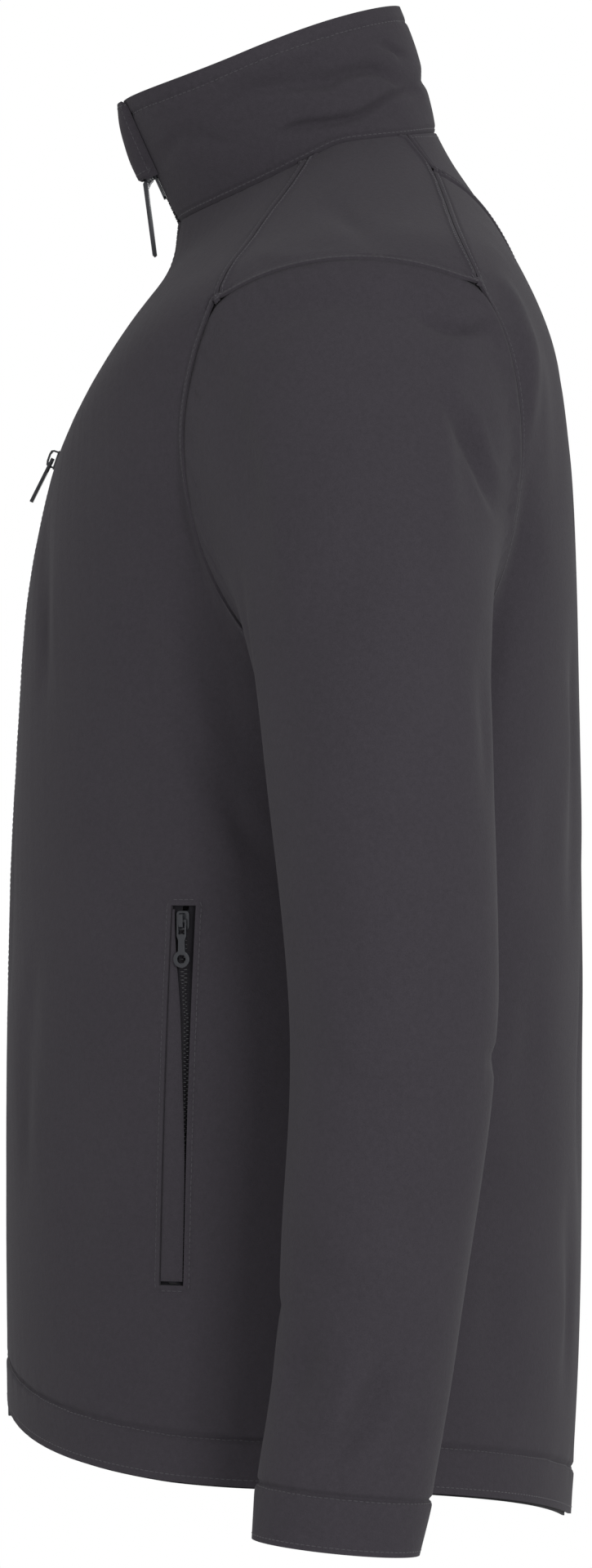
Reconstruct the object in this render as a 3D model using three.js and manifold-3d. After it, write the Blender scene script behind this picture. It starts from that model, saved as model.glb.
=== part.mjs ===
import * as THREE from "three";
import { mergeVertices } from "three/addons/utils/BufferGeometryUtils.js";
import Module from "manifold-3d";

// Softshell jacket with a stand collar, in millimetres. The origin is the middle of the
// neck opening at the height of the side neck, +Z is up, the front faces -Y and the
// wearer's left is +X.

const wasm = await Module();
wasm.setup();
const { Manifold, Mesh } = wasm;

const WALL = 1.6;
const HEM_WALL = 2.4;
const COLLAR_WALL = 3.0;
const SEAM_GAP = 0.3;
const FRONT_EDGE_X = 5.5;
const SIDE_SEAM_ANGLE = 95;
const UPPER_CHEST_LEVEL = 2;
const ARMPIT_LEVEL = 6;
const HEM_STITCH_LEVEL = 9.7;
const HEM_LEVEL = 10;

// Level rings of the body, from the neck seam to the hem. Angle 0 is the centre front,
// 90 the wearer's left side and 180 the centre back.
const RINGS = [
  {
    sideX: 72, sideY: 6, sideZ: 3, frontY: -78, frontZ: -34, backY: 58, backZ: 13,
    squareFront: 2.1, squareBack: 2.2, bow: 1.0,
  },
  {
    sideX: 104, sideY: 9, sideZ: -13, frontY: -83, frontZ: -60, backY: 67, backZ: -5,
    squareFront: 2.1, squareBack: 2.3, bow: 1.2,
  },
  {
    sideX: 160, sideY: 12, sideZ: -40, frontY: -111, frontZ: -101, backY: 85, backZ: -30,
    squareFront: 2.1, squareBack: 2.7, bow: 1.5,
  },
  {
    sideX: 217, sideY: 14, sideZ: -66, frontY: -139, frontZ: -153, backY: 102, backZ: -62,
    squareFront: 2.0, squareBack: 3.2, bow: 1.7,
  },
  {
    sideX: 214, sideY: 11, sideZ: -115, frontY: -150, frontZ: -191, backY: 119, backZ: -102,
    squareFront: 2.05, squareBack: 3.9, bow: 1.8,
  },
  {
    sideX: 210, sideY: 6, sideZ: -190, frontY: -158, frontZ: -238, backY: 128, backZ: -172,
    squareFront: 2.15, squareBack: 4.0, bow: 1.9,
  },
  {
    sideX: 206, sideY: 0, sideZ: -292, frontY: -162, frontZ: -298, backY: 132, backZ: -295,
    squareFront: 2.3, squareBack: 3.4, bow: 2.0,
  },
  {
    sideX: 203, sideY: -8, sideZ: -372, frontY: -166, frontZ: -374, backY: 134, backZ: -374,
    squareFront: 2.5, squareBack: 3.0, bow: 2.0,
  },
  {
    sideX: 198, sideY: -14, sideZ: -475, frontY: -168, frontZ: -475, backY: 135, backZ: -478,
    squareFront: 2.6, squareBack: 2.7, bow: 2.0,
  },
  {
    sideX: 201, sideY: -16, sideZ: -590, frontY: -168, frontZ: -585, backY: 134, backZ: -600,
    squareFront: 2.6, squareBack: 2.6, bow: 2.0,
  },
  {
    sideX: 205, sideY: -16, sideZ: -682, frontY: -167, frontZ: -650, backY: 128, backZ: -712,
    squareFront: 2.6, squareBack: 2.6, bow: 2.0,
  },
];

// Top edge of the collar.
const COLLAR_TOP = {
  sideX: 62, sideY: -33, sideZ: 55, frontY: -107, frontZ: 30, backY: 39, backZ: 80,
  squareFront: 2.1, squareBack: 2.1, bow: 1.0,
};
const COLLAR_BULGE = 2.8;
const COLLAR_ROWS = 6;

// Seams as the side view shows them: y and z of points along each, with the angle on
// the body near which the point lies. The yoke seam is given as places on the body.
const SHOULDER_FRONT_SEAM = [
  { y: -9, z: -2, angle: 82 },
  { y: -16, z: -17, angle: 77 },
  { y: -30, z: -38, angle: 73 },
  { y: -42, z: -58, angle: 72 },
  { y: -57, z: -87, angle: 70 },
];
const SHOULDER_BACK_SEAM = [
  { y: 39, z: 11, angle: 130 },
  { y: 54, z: -10, angle: 135 },
  { y: 61, z: -34, angle: 125 },
  { y: 67, z: -56, angle: 118 },
  { y: 75, z: -80, angle: 108 },
];
const YOKE_TIP = 1;
const YOKE_SEAM = [
  { angle: 136.8, level: 1.51 },
  { angle: 150.3, level: 2.04 },
  { angle: 163, level: 2.6 },
  { angle: 172, level: 2.96 },
];
const YOKE_BOTTOM = { angle: 180, level: 3.08 };
const ARMHOLE_FRONT = [
  { y: -57, z: -87, angle: 70 },
  { y: -68, z: -118, angle: 66 },
  { y: -73, z: -148, angle: 65 },
  { y: -72, z: -172, angle: 66 },
  { y: -66, z: -205, angle: 68 },
  { y: -50, z: -240, angle: 74 },
  { y: -25, z: -270, angle: 82 },
];
const ARMHOLE_TOP = [
  { y: -57, z: -87, angle: 70 },
  { y: -32, z: -74, angle: 78 },
  { y: 0, z: -67, angle: 86 },
  { y: 30, z: -67, angle: 95 },
  { y: 55, z: -72, angle: 102 },
  { y: 75, z: -80, angle: 108 },
];
const ARMHOLE_BACK = [
  { y: 75, z: -80, angle: 108 },
  { y: 88, z: -104, angle: 113 },
  { y: 95, z: -135, angle: 116 },
  { y: 96, z: -170, angle: 116 },
  { y: 92, z: -210, angle: 115 },
  { y: 76, z: -250, angle: 110 },
  { y: 48, z: -281, angle: 103 },
];

// How many strips of cloth each stretch is divided into.
const NECK_FRONT_COLUMNS = 12;
const SHOULDER_ROWS_UP = 3;
const SHOULDER_ROWS_DOWN = 5;
const ARMHOLE_FRONT_ROWS = 12;
const ARMHOLE_TOP_COLUMNS = 8;
const ARMHOLE_BACK_ROWS = 11;
const YOKE_COLUMNS = 9;
const BACK_COLUMN_CROWDING = 1.3;
const SIDE_SEAM_ROWS = 2;
const POCKET_ROWS = 4;
const BODY_ROWS_BELOW_POCKET = 2;

// Folds of the body cloth, from one end to the other, as signed angle and height. A
// negative depth is a trough. The wearer's right side has its own.
const BODY_FOLDS = [
  { fromAngle: 108, fromZ: -84, toAngle: 118, toZ: -116, width: 13, depth: 3.4 },
  { fromAngle: 118, fromZ: -116, toAngle: 117, toZ: -176, width: 13, depth: 3.8 },
  { fromAngle: 124, fromZ: -110, toAngle: 127, toZ: -190, width: 12, depth: -2.4 },
  { fromAngle: 56, fromZ: -215, toAngle: 66, toZ: -330, width: 24, depth: -3.4 },
  { fromAngle: 148, fromZ: -420, toAngle: 152, toZ: -560, width: 15, depth: -3.0 },
  { fromAngle: 165, fromZ: -470, toAngle: 162, toZ: -610, width: 17, depth: -2.4 },
  { fromAngle: 128, fromZ: -500, toAngle: 126, toZ: -640, width: 16, depth: -2.2 },
  { fromAngle: -107, fromZ: -86, toAngle: -117, toZ: -122, width: 13, depth: 3.0 },
  { fromAngle: -117, fromZ: -122, toAngle: -119, toZ: -168, width: 13, depth: 3.4 },
  { fromAngle: -125, fromZ: -118, toAngle: -129, toZ: -200, width: 13, depth: -2.6 },
  { fromAngle: -58, fromZ: -222, toAngle: -64, toZ: -316, width: 22, depth: -3.0 },
  { fromAngle: -145, fromZ: -440, toAngle: -150, toZ: -548, width: 16, depth: -2.6 },
  { fromAngle: -130, fromZ: -520, toAngle: -127, toZ: -630, width: 18, depth: -2.4 },
];
const BODY_ARC = 3.0;

// Folds of the collar: angle and height above the neck seam.
const COLLAR_FOLDS = [
  { fromAngle: 56, fromZ: 24, toAngle: 100, toZ: 33, width: 6, depth: -1.8 },
  { fromAngle: 100, fromZ: 33, toAngle: 128, toZ: 29, width: 6, depth: -2.2 },
  { fromAngle: 128, fromZ: 29, toAngle: 152, toZ: 21, width: 6, depth: -1.8 },
  { fromAngle: 80, fromZ: 9, toAngle: 120, toZ: 9, width: 5, depth: -1.6 },
  { fromAngle: 120, fromZ: 9, toAngle: 144, toZ: 16, width: 6, depth: -1.6 },
  { fromAngle: 62, fromZ: 42, toAngle: 118, toZ: 48, width: 9, depth: 1.2 },
  { fromAngle: -60, fromZ: 26, toAngle: -106, toZ: 31, width: 6, depth: -2.0 },
  { fromAngle: -106, fromZ: 31, toAngle: -148, toZ: 24, width: 7, depth: -1.7 },
  { fromAngle: -86, fromZ: 10, toAngle: -132, toZ: 12, width: 5, depth: -1.5 },
  { fromAngle: 168, fromZ: 26, toAngle: -166, toZ: 30, width: 6, depth: -1.4 },
];
const COLLAR_ARC = 1.2;

// Level rings of the left sleeve below the armhole, to the cuff edge. The front of a
// ring is its lowest y.
const SLEEVE_RINGS = [
  { z: -330, middleX: 276, frontY: -31, backY: 82, halfX: 57, tilt: 0 },
  { z: -405, middleX: 282, frontY: -22, backY: 84, halfX: 53, tilt: 0 },
  { z: -457, middleX: 285, frontY: -19, backY: 84, halfX: 50, tilt: 0 },
  { z: -509, middleX: 287, frontY: -22, backY: 78, halfX: 48, tilt: 0 },
  { z: -560, middleX: 288, frontY: -24, backY: 70, halfX: 45, tilt: 0 },
  { z: -612, middleX: 288, frontY: -26, backY: 63, halfX: 43, tilt: 0 },
  { z: -660, middleX: 287, frontY: -34, backY: 54, halfX: 41.5, tilt: 2 },
  { z: -676, middleX: 287, frontY: -35.5, backY: 51, halfX: 41, tilt: 3 },
  { z: -703, middleX: 287, frontY: -37, backY: 44, halfX: 40, tilt: 4 },
];
const SLEEVE_FAN_ROWS = 10;
const SLEEVE_FAN_CROWDING = 1.15;
const SLEEVE_LOWER_ROWS = 8;
const SLEEVE_AXIS = { x: 0.8, y: 0, z: -0.6 };
const SLEEVE_START_PULL = { base: 6, perSpan: 0.75 };
const SLEEVE_END_PULL = { base: 22, perSpan: 0.62 };
const CUFF_STEP = 0.8;
const CUFF_ROWS_UP = [0.93, 0.5, 0];

// Folds of the sleeves: angle round the sleeve (0 towards the body, 90 front, 180
// outside, 270 back) and height.
const SLEEVE_FOLDS_LEFT = [
  { fromAngle: 208, fromZ: -132, toAngle: 232, toZ: -162, width: 9, depth: -3.4 },
  { fromAngle: 232, fromZ: -162, toAngle: 254, toZ: -198, width: 9, depth: -3.4 },
  { fromAngle: 202, fromZ: -96, toAngle: 244, toZ: -112, width: 7, depth: -2.2 },
  { fromAngle: 232, fromZ: -128, toAngle: 262, toZ: -160, width: 9, depth: 2.6 },
  { fromAngle: 150, fromZ: -250, toAngle: 122, toZ: -330, width: 17, depth: -2.6 },
  { fromAngle: 205, fromZ: -420, toAngle: 236, toZ: -480, width: 16, depth: -2.4 },
  { fromAngle: 122, fromZ: -440, toAngle: 96, toZ: -500, width: 14, depth: -2.6 },
  { fromAngle: 196, fromZ: -622, toAngle: 162, toZ: -662, width: 9, depth: -2.6 },
  { fromAngle: 154, fromZ: -604, toAngle: 124, toZ: -640, width: 8, depth: -2.2 },
  { fromAngle: 262, fromZ: -590, toAngle: 232, toZ: -640, width: 11, depth: -2.2 },
];
const SLEEVE_FOLDS_RIGHT = [
  { fromAngle: 206, fromZ: -138, toAngle: 250, toZ: -190, width: 10, depth: -3.6 },
  { fromAngle: 204, fromZ: -100, toAngle: 240, toZ: -108, width: 7, depth: -2.0 },
  { fromAngle: 228, fromZ: -122, toAngle: 264, toZ: -152, width: 8, depth: 2.4 },
  { fromAngle: 146, fromZ: -262, toAngle: 126, toZ: -322, width: 16, depth: -2.8 },
  { fromAngle: 208, fromZ: -436, toAngle: 240, toZ: -484, width: 15, depth: -2.2 },
  { fromAngle: 118, fromZ: -452, toAngle: 92, toZ: -496, width: 15, depth: -2.4 },
  { fromAngle: 190, fromZ: -612, toAngle: 158, toZ: -656, width: 10, depth: -2.4 },
  { fromAngle: 256, fromZ: -600, toAngle: 236, toZ: -646, width: 10, depth: -2.4 },
];
const SLEEVE_ARC = 0.9;
const SLEEVE_FOLD_FADE = 3;

// Hand pocket slot in each front panel.
const POCKET = { fromAngle: 70.2, toAngle: 73.8, topZ: -390, bottomZ: -581 };
const POCKET_MIDDLE = (POCKET.fromAngle + POCKET.toAngle) / 2;
const POCKET_COLUMNS_BEHIND = 3;

// Zips: how far each layer lies under the outside of the cloth, and the half widths.
const FRONT_ZIP = { tapeTop: -1.95, tapeBottom: -2.65, chainTop: -0.3, chainBottom: -3.0 };
const FRONT_ZIP_CHAIN_HALF = 3.0;
const FRONT_ZIP_TAPE_REACH = 15;
const FRONT_ZIP_EDGE_REACH = 5.2;
const FRONT_ZIP_HALF_GAP = 0.15;
const PARTED_TAPE = { from: 3.7, top: -1.0, bottom: -1.9 };
const SLIDER_SHARE = 0.33;
const SLIDER_NECK = { above: 0.07, below: 0.03 };
const ZIP_STEP = 0.3;
const POCKET_ZIP = { tapeTop: -2.9, tapeBottom: -3.5, chainTop: -0.9, chainBottom: -3.5 };
const POCKET_ZIP_ANGLES = [68.8, 71.25, 71.5, 72.5, 72.75, 75.2];
const POCKET_ZIP_OVERHANG = 7;
const POCKET_ZIP_ROWS = 7;
const POCKET_ZIP_STEP = 0.6;
const POCKET_SLIDER_Z = -397.5;
const POCKET_WELT = { clear: 0.12, top: 0.2, thick: 0.8 };
const POCKET_WELT_EDGE = [
  { z: -392, reach: 0.35 },
  { z: -405, reach: 0.6 },
  { z: -426, reach: 1.3 },
  { z: -441, reach: 1.9 },
  { z: -471, reach: 2.4 },
  { z: -494, reach: 2.9 },
  { z: -520, reach: 3.3 },
  { z: -550, reach: 3.3 },
  { z: -579, reach: 3.3 },
];
const CHEST_ZIP = { angle: -14, topZ: -148, bottomZ: -290, rows: 10, edgeHalf: 2.3, chainHalf: 0.75 };
const CHEST_ZIP_LAYERS = { bottom: 0.6, tapeTop: 1.1, chainTop: 2.1 };
const CHEST_SLIDER_Z = -158;

// Sliders, in depths from the outside of the cloth. The bridge is the loop that the tab
// hangs on.
const MAIN_SLIDER = {
  width: 9.6, length: 17, front: 1.5, gapFront: 0.0,
  gapBack: -3.3, back: -4.6, neckWidth: 6.4, neckLength: 3.2,
};
const MAIN_PIN = { depth: 4.0, up: 4.2, radius: 0.9 };
const MAIN_LUG = { from: 2.9, width: 1.0, radius: 1.9, below: 3.4, above: 3.0, sink: 0.3 };
const MAIN_TAB = {
  eye: 2.1, hole: 1.2, width: 5.2, thickness: 2.4,
  topForward: 2.4, bottomBack: 2.6, length: 41,
};
const POCKET_SLIDER = {
  width: 6.6, length: 9.5, front: 0.5, gapFront: -0.7,
  gapBack: -3.7, back: -4.5, neckWidth: 3.0, neckLength: 2.2,
};
const POCKET_BRIDGE = { height: 3.7, length: 7.4, half: 1.1, wall: 0.9, pinOut: 1.55, pinUp: -0.4 };
const POCKET_TAB = {
  half: 2.5, window: 1.6, windowEnd: -6.6, thickness: 1.3,
  bar: 0.8, waist: 1.7, ringAt: -19, ring: 4.3, ringHole: 2.3,
};
const CHEST_SLIDER = {
  width: 6.8, length: 10.5, corner: 1.4, front: 3.4, gapFront: 2.25,
  flange: 1.3, flangeWidth: 0.8, flangeLength: 8.1,
};
const CHEST_BRIDGE = { height: 4.5, length: 9.6, half: 1.2, wall: 1.0, pinOut: 1.9, pinUp: -0.6 };
const CHEST_TAB = {
  half: 2.7,
  window: 1.7,
  windowEnd: -7.2,
  thickness: 1.7,
  bar: 0.95,
  length: 26,
  lean: 7.5,
};

// Zip garage: a cap of cloth over the top of the zip, standing off the collar.
const GARAGE = { halfWidth: 12, clear: 0.5, thick: 1.6, shareTop: 1.0, shareBottom: 0.42 };
const GARAGE_GRID = { rows: 8, columns: 8, roundness: 0.8, innerWidth: 0.94 };
const GARAGE_PROFILE = [
  { stand: 2.0 },
  { stand: 5.6 },
  { stand: 7.4 },
  { stand: 8.6 },
  { stand: 8.4 },
];

// Hem facing inside the hem, showing below it as a thin edge.
const HEM_FACING = { drop: 1.0, height: 20, gap: 0.6, thick: 0.9 };
const ZIP_BOX = { half: 4.6, height: 11, drop: 0.5, front: 0.6, back: -3.6 };

const RAD = Math.PI / 180;
const mix = (a, b, k) => a + (b - a) * k;
const vec = (x, y, z) => new THREE.Vector3(x, y, z);

const catmull = (a, b, c, d, k) =>
  0.5 * (2 * b + (c - a) * k + (2 * a - 5 * b + 4 * c - d) * k * k + (3 * b - a - 3 * c + d) * k * k * k);

// A row of a table, with every column run smoothly between the rows.
const smoothRow = (rows, at) => {
  const last = rows.length - 1;
  const low = Math.min(Math.max(Math.floor(at), 0), last - 1);
  const pick = (i) => rows[Math.min(Math.max(i, 0), last)];
  const result = {};
  for (const key of Object.keys(rows[0])) {
    const a = low > 0 ? pick(low - 1)[key] : 2 * pick(0)[key] - pick(1)[key];
    const d = low + 2 <= last ? pick(low + 2)[key] : 2 * pick(last)[key] - pick(last - 1)[key];
    result[key] = catmull(a, pick(low)[key], pick(low + 1)[key], d, at - low);
  }
  return result;
};

// A point of a level ring in the direction of the angle.
const ringPoint = (ring, angle) => {
  const s = Math.sin(angle * RAD);
  const c = Math.cos(angle * RAD);
  const front = c >= 0;
  const depth = front ? ring.sideY - ring.frontY : ring.backY - ring.sideY;
  const square = front ? ring.squareFront : ring.squareBack;
  const sum = (Math.abs(s) / ring.sideX) ** square + (Math.abs(c) / depth) ** square;
  const reach = sum ** (-1 / square);
  const endZ = front ? ring.frontZ : ring.backZ;
  return vec(reach * s, ring.sideY - reach * c, mix(ring.sideZ, endZ, Math.abs(c) ** ring.bow));
};

const bodyPoint = (angle, level) => ringPoint(smoothRow(RINGS, level), angle);

const normalOf = (surface, u, v, stepU, stepV) => {
  const alongV = surface(u, v + stepV).sub(surface(u, v - stepV));
  const alongU = surface(u + stepU, v).sub(surface(u - stepU, v));
  return alongV.cross(alongU).normalize();
};

const bodyNormal = (angle, level) => normalOf(bodyPoint, angle, level, 0.5, 0.02);

const turn = (degrees) => ((((degrees + 180) % 360) + 360) % 360) - 180;

// How far the folds of a table lift a place of the cloth.
const foldLift = (folds, arc, angle, z) => {
  let lift = 0;
  for (const fold of folds) {
    const spanU = turn(fold.toAngle - fold.fromAngle) * arc;
    const spanV = fold.toZ - fold.fromZ;
    const u = turn(angle - fold.fromAngle) * arc;
    const v = z - fold.fromZ;
    const share = (u * spanU + v * spanV) / (spanU * spanU + spanV * spanV);
    const along = Math.min(Math.max(share, 0), 1);
    const away = Math.hypot(u - along * spanU, v - along * spanV) / fold.width;
    lift += fold.depth * Math.exp(-away * away);
  }
  return lift;
};

// The place on the left half of the body that the side view shows at y and z.
const solveOnBody = ({ y, z, angle }) => {
  let a = angle;
  let t = 3;
  for (let i = 0; i < 60; i += 1) {
    const p = bodyPoint(a, t);
    const pa = bodyPoint(a + 0.2, t).sub(p).divideScalar(0.2);
    const pt = bodyPoint(a, t + 0.01).sub(p).divideScalar(0.01);
    const dy = y - p.y;
    const dz = z - p.z;
    const det = pa.y * pt.z - pt.y * pa.z;
    const da = (dy * pt.z - pt.y * dz) / det;
    const dt = (pa.y * dz - dy * pa.z) / det;
    a += Math.min(Math.max(da, -4), 4) * 0.7;
    t = Math.min(Math.max(t + Math.min(Math.max(dt, -0.4), 0.4) * 0.7, 0), ARMPIT_LEVEL);
  }
  return { angle: a, level: t };
};

// Samples of {angle, level}, evenly spaced along the smooth line through the places.
const evenly = (places, count) => {
  const dense = [];
  const steps = 240;
  for (let i = 0; i <= steps; i += 1) {
    dense.push(smoothRow(places, (i / steps) * (places.length - 1)));
  }
  const far = [0];
  for (let i = 1; i <= steps; i += 1) {
    const a = bodyPoint(dense[i - 1].angle, dense[i - 1].level);
    const b = bodyPoint(dense[i].angle, dense[i].level);
    far.push(far[i - 1] + a.distanceTo(b));
  }
  const result = [];
  for (let k = 0; k <= count; k += 1) {
    const want = (far[steps] * k) / count;
    let i = 1;
    while (i < steps && far[i] < want) {
      i += 1;
    }
    const share = (want - far[i - 1]) / (far[i] - far[i - 1]);
    result.push({
      angle: mix(dense[i - 1].angle, dense[i].angle, share),
      level: mix(dense[i - 1].level, dense[i].level, share),
    });
  }
  return result;
};

const frontEdgeAngle = (level) => {
  const ring = smoothRow(RINGS, level);
  return Math.asin(FRONT_EDGE_X / (ring.sideY - ring.frontY)) / RAD;
};

// Seam lines on the left half as places on the body.
const shoulderFrontPlaces = SHOULDER_FRONT_SEAM.map(solveOnBody);
const shoulderBackPlaces = SHOULDER_BACK_SEAM.map(solveOnBody);
shoulderFrontPlaces[0].level = 0;
shoulderBackPlaces[0].level = 0;
const neckFrontAngle = shoulderFrontPlaces[0].angle;
const neckBackAngle = shoulderBackPlaces[0].angle;
const yokeTip = shoulderBackPlaces[YOKE_TIP];
const shoulderFrontEnd = shoulderFrontPlaces[shoulderFrontPlaces.length - 1];
const shoulderBackEnd = shoulderBackPlaces[shoulderBackPlaces.length - 1];
const underarm = { angle: SIDE_SEAM_ANGLE, level: ARMPIT_LEVEL };

const shoulderRows = SHOULDER_ROWS_UP + SHOULDER_ROWS_DOWN;
const alongNeck = (from, to, count) => evenly([{ angle: from, level: 0 }, { angle: to, level: 0 }], count);
const neckFront = alongNeck(frontEdgeAngle(0), neckFrontAngle, NECK_FRONT_COLUMNS);
const neckSide = alongNeck(neckFrontAngle, neckBackAngle, ARMHOLE_TOP_COLUMNS);
const neckBack = alongNeck(neckBackAngle, 180, YOKE_COLUMNS);
const seamFront = evenly(shoulderFrontPlaces, shoulderRows);
const seamBackUp = evenly(shoulderBackPlaces.slice(0, YOKE_TIP + 1), SHOULDER_ROWS_UP);
const seamBackDown = evenly(shoulderBackPlaces.slice(YOKE_TIP), SHOULDER_ROWS_DOWN);
const yokeSeam = evenly([yokeTip, ...YOKE_SEAM, YOKE_BOTTOM], YOKE_COLUMNS);
const armholeFront = evenly(
  [shoulderFrontEnd, ...ARMHOLE_FRONT.slice(1).map(solveOnBody), underarm],
  ARMHOLE_FRONT_ROWS,
);
const armholeTop = evenly(
  [shoulderFrontEnd, ...ARMHOLE_TOP.slice(1, -1).map(solveOnBody), shoulderBackEnd],
  ARMHOLE_TOP_COLUMNS,
);
const armholeBack = evenly(
  [shoulderBackEnd, ...ARMHOLE_BACK.slice(1).map(solveOnBody), underarm],
  ARMHOLE_BACK_ROWS,
);

// The armhole as one loop: up the front, over the shoulder, down the back. Both cloths
// of the seam share its points, wall direction and the direction across the seam.
const loop = [
  ...armholeFront.slice().reverse().slice(0, -1),
  ...armholeTop.slice(0, -1),
  ...armholeBack.slice(0, -1),
];
const loopPoints = loop.map(({ angle, level }) => bodyPoint(angle, level));
const loopMiddle = loopPoints.reduce((sum, p) => sum.add(p), vec(0, 0, 0)).divideScalar(loop.length);
const sleeveAxis = vec(SLEEVE_AXIS.x, SLEEVE_AXIS.y, SLEEVE_AXIS.z).normalize();
loop.forEach((place, k) => {
  const before = loopPoints[(k + loop.length - 1) % loop.length];
  const after = loopPoints[(k + 1) % loop.length];
  const along = after.clone().sub(before).normalize();
  const outward = loopPoints[k].clone().sub(loopMiddle);
  outward.addScaledVector(sleeveAxis, -outward.dot(sleeveAxis)).normalize();
  const normal = bodyNormal(place.angle, place.level).add(outward);
  normal.addScaledVector(along, -normal.dot(along)).normalize();
  place.normal = normal;
  place.across = along.clone().cross(normal).normalize();
  if (place.across.dot(sleeveAxis) < 0) {
    place.across.negate();
  }
});
const shareEnd = (samples, index, place) => {
  samples[index] = place;
};
armholeFront.forEach((_, i) => shareEnd(armholeFront, i, loop[ARMHOLE_FRONT_ROWS - i]));
armholeTop.forEach((_, i) => shareEnd(armholeTop, i, loop[ARMHOLE_FRONT_ROWS + i]));
const backStart = ARMHOLE_FRONT_ROWS + ARMHOLE_TOP_COLUMNS;
armholeBack.forEach((_, i) => shareEnd(armholeBack, i, loop[(backStart + i) % loop.length]));
shareEnd(seamFront, shoulderRows, armholeFront[0]);
shareEnd(seamBackDown, SHOULDER_ROWS_DOWN, armholeBack[0]);

// The neck seam's wall direction lies between the body's and the collar's.
const collarPoint = (angle, share) => {
  const low = bodyPoint(angle, 0);
  const high = ringPoint(COLLAR_TOP, angle);
  const point = low.clone().lerp(high, share);
  const outward = vec(Math.sin(angle * RAD), -Math.cos(angle * RAD), 0);
  const backness = Math.sin((angle * RAD) / 2) ** 2;
  return point.addScaledVector(outward, COLLAR_BULGE * 4 * share * (1 - share) * backness);
};
const collarNormal = (angle, share) => {
  const alongV = collarPoint(angle, share - 0.01).sub(collarPoint(angle, share + 0.01));
  const alongU = collarPoint(angle + 0.5, share).sub(collarPoint(angle - 0.5, share));
  return alongV.cross(alongU).normalize();
};
const neckNormal = (angle) => bodyNormal(angle, 0.05).add(collarNormal(angle, 0.05)).normalize();
for (const place of [...neckFront, ...neckSide, ...neckBack]) {
  place.normal = neckNormal(place.angle);
}
shareEnd(neckSide, 0, neckFront[NECK_FRONT_COLUMNS]);
shareEnd(neckBack, 0, neckSide[ARMHOLE_TOP_COLUMNS]);
shareEnd(seamFront, 0, neckSide[0]);
shareEnd(seamBackUp, 0, neckBack[0]);

const mirrored = (v, side) => vec(v.x * side, v.y, v.z);

// The outside point and wall direction of a place, on the left (1) or right (-1).
const settle = (place, side) => {
  const point = bodyPoint(place.angle * side, place.level);
  const plain = place.normal ?? bodyNormal(place.angle, place.level);
  const normal = mirrored(plain, side);
  const lift = foldLift(BODY_FOLDS, BODY_ARC, place.angle * side, point.z);
  return { point: point.addScaledVector(mirrored(bodyNormal(place.angle, place.level), side), lift), normal };
};

// Places inside a four-sided panel, from the places along its sides.
const fillPanel = ({ top, bottom, left, right }) => {
  const rows = left.length - 1;
  const columns = top.length - 1;
  const grid = [];
  for (let i = 0; i <= rows; i += 1) {
    const v = i / rows;
    const row = [];
    for (let j = 0; j <= columns; j += 1) {
      const u = j / columns;
      const blend = (key) =>
        mix(top[j][key], bottom[j][key], v) +
        mix(left[i][key], right[i][key], u) -
        mix(mix(top[0][key], top[columns][key], u), mix(bottom[0][key], bottom[columns][key], u), v);
      const edge = { 0: top[j], [rows]: bottom[j] }[i] ?? { 0: left[i], [columns]: right[i] }[j];
      row.push(edge ?? { angle: blend("angle"), level: blend("level") });
    }
    grid.push(row);
  }
  return grid;
};

const settleAll = (grid, side) => grid.map((row) => row.map((place) => settle(place, side)));

// Moves the named sides of a settled grid in, square to the seam.
const drawIn = (cells, sides, amount = SEAM_GAP / 2) => {
  const rows = cells.length - 1;
  const columns = cells[0].length - 1;
  const at = (i, j) => cells[Math.min(Math.max(i, 0), rows)][Math.min(Math.max(j, 0), columns)];
  const moves = [];
  const plan = (i, j, inI, inJ) => {
    const along = at(i + inJ, j + inI).point.clone().sub(at(i - inJ, j - inI).point);
    const inward = at(i + inI, j + inJ).point.clone().sub(at(i, j).point);
    const across = along.cross(at(i, j).normal).normalize();
    moves.push({ cell: at(i, j), move: across.multiplyScalar(Math.sign(across.dot(inward)) * amount) });
  };
  for (let j = 0; j <= columns; j += 1) {
    if (sides.includes("top")) {
      plan(0, j, 1, 0);
    }
    if (sides.includes("bottom")) {
      plan(rows, j, -1, 0);
    }
  }
  for (let i = 0; i <= rows; i += 1) {
    if (sides.includes("left")) {
      plan(i, 0, 0, 1);
    }
    if (sides.includes("right")) {
      plan(i, columns, 0, -1);
    }
  }
  moves.forEach(({ cell, move }) => cell.point.add(move));
  return cells;
};

// A closed wall between an outer and an inner grid of points. Holes leaves cells out,
// and round joins the last column to the first.
const wall = (outer, inner, { holes = () => false, round = false } = {}) => {
  const rows = outer.length - 1;
  const width = outer[0].length;
  const columns = round ? width : width - 1;
  const flat = [...outer.flat(), ...inner.flat()];
  const index = (i, j) => i * width + (j % width);
  const shift = outer.length * width;
  const present = (i, j) => {
    const wrapped = round ? (j + columns) % columns : j;
    return i >= 0 && i < rows && wrapped >= 0 && wrapped < columns && !holes(i, wrapped);
  };
  const faces = [];
  for (let i = 0; i < rows; i += 1) {
    for (let j = 0; j < columns; j += 1) {
      if (!present(i, j)) {
        continue;
      }
      const corners = [index(i, j), index(i + 1, j), index(i + 1, j + 1), index(i, j + 1)];
      const [a, b, c, d] = corners;
      faces.push([a, b, c], [a, c, d]);
      faces.push([a + shift, c + shift, b + shift], [a + shift, d + shift, c + shift]);
      const beside = [present(i, j - 1), present(i + 1, j), present(i, j + 1), present(i - 1, j)];
      beside.forEach((there, side) => {
        if (!there) {
          const from = corners[side];
          const to = corners[(side + 1) % 4];
          faces.push([to, from, from + shift], [to, from + shift, to + shift]);
        }
      });
    }
  }
  return closedGeometry(flat, faces);
};

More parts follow.
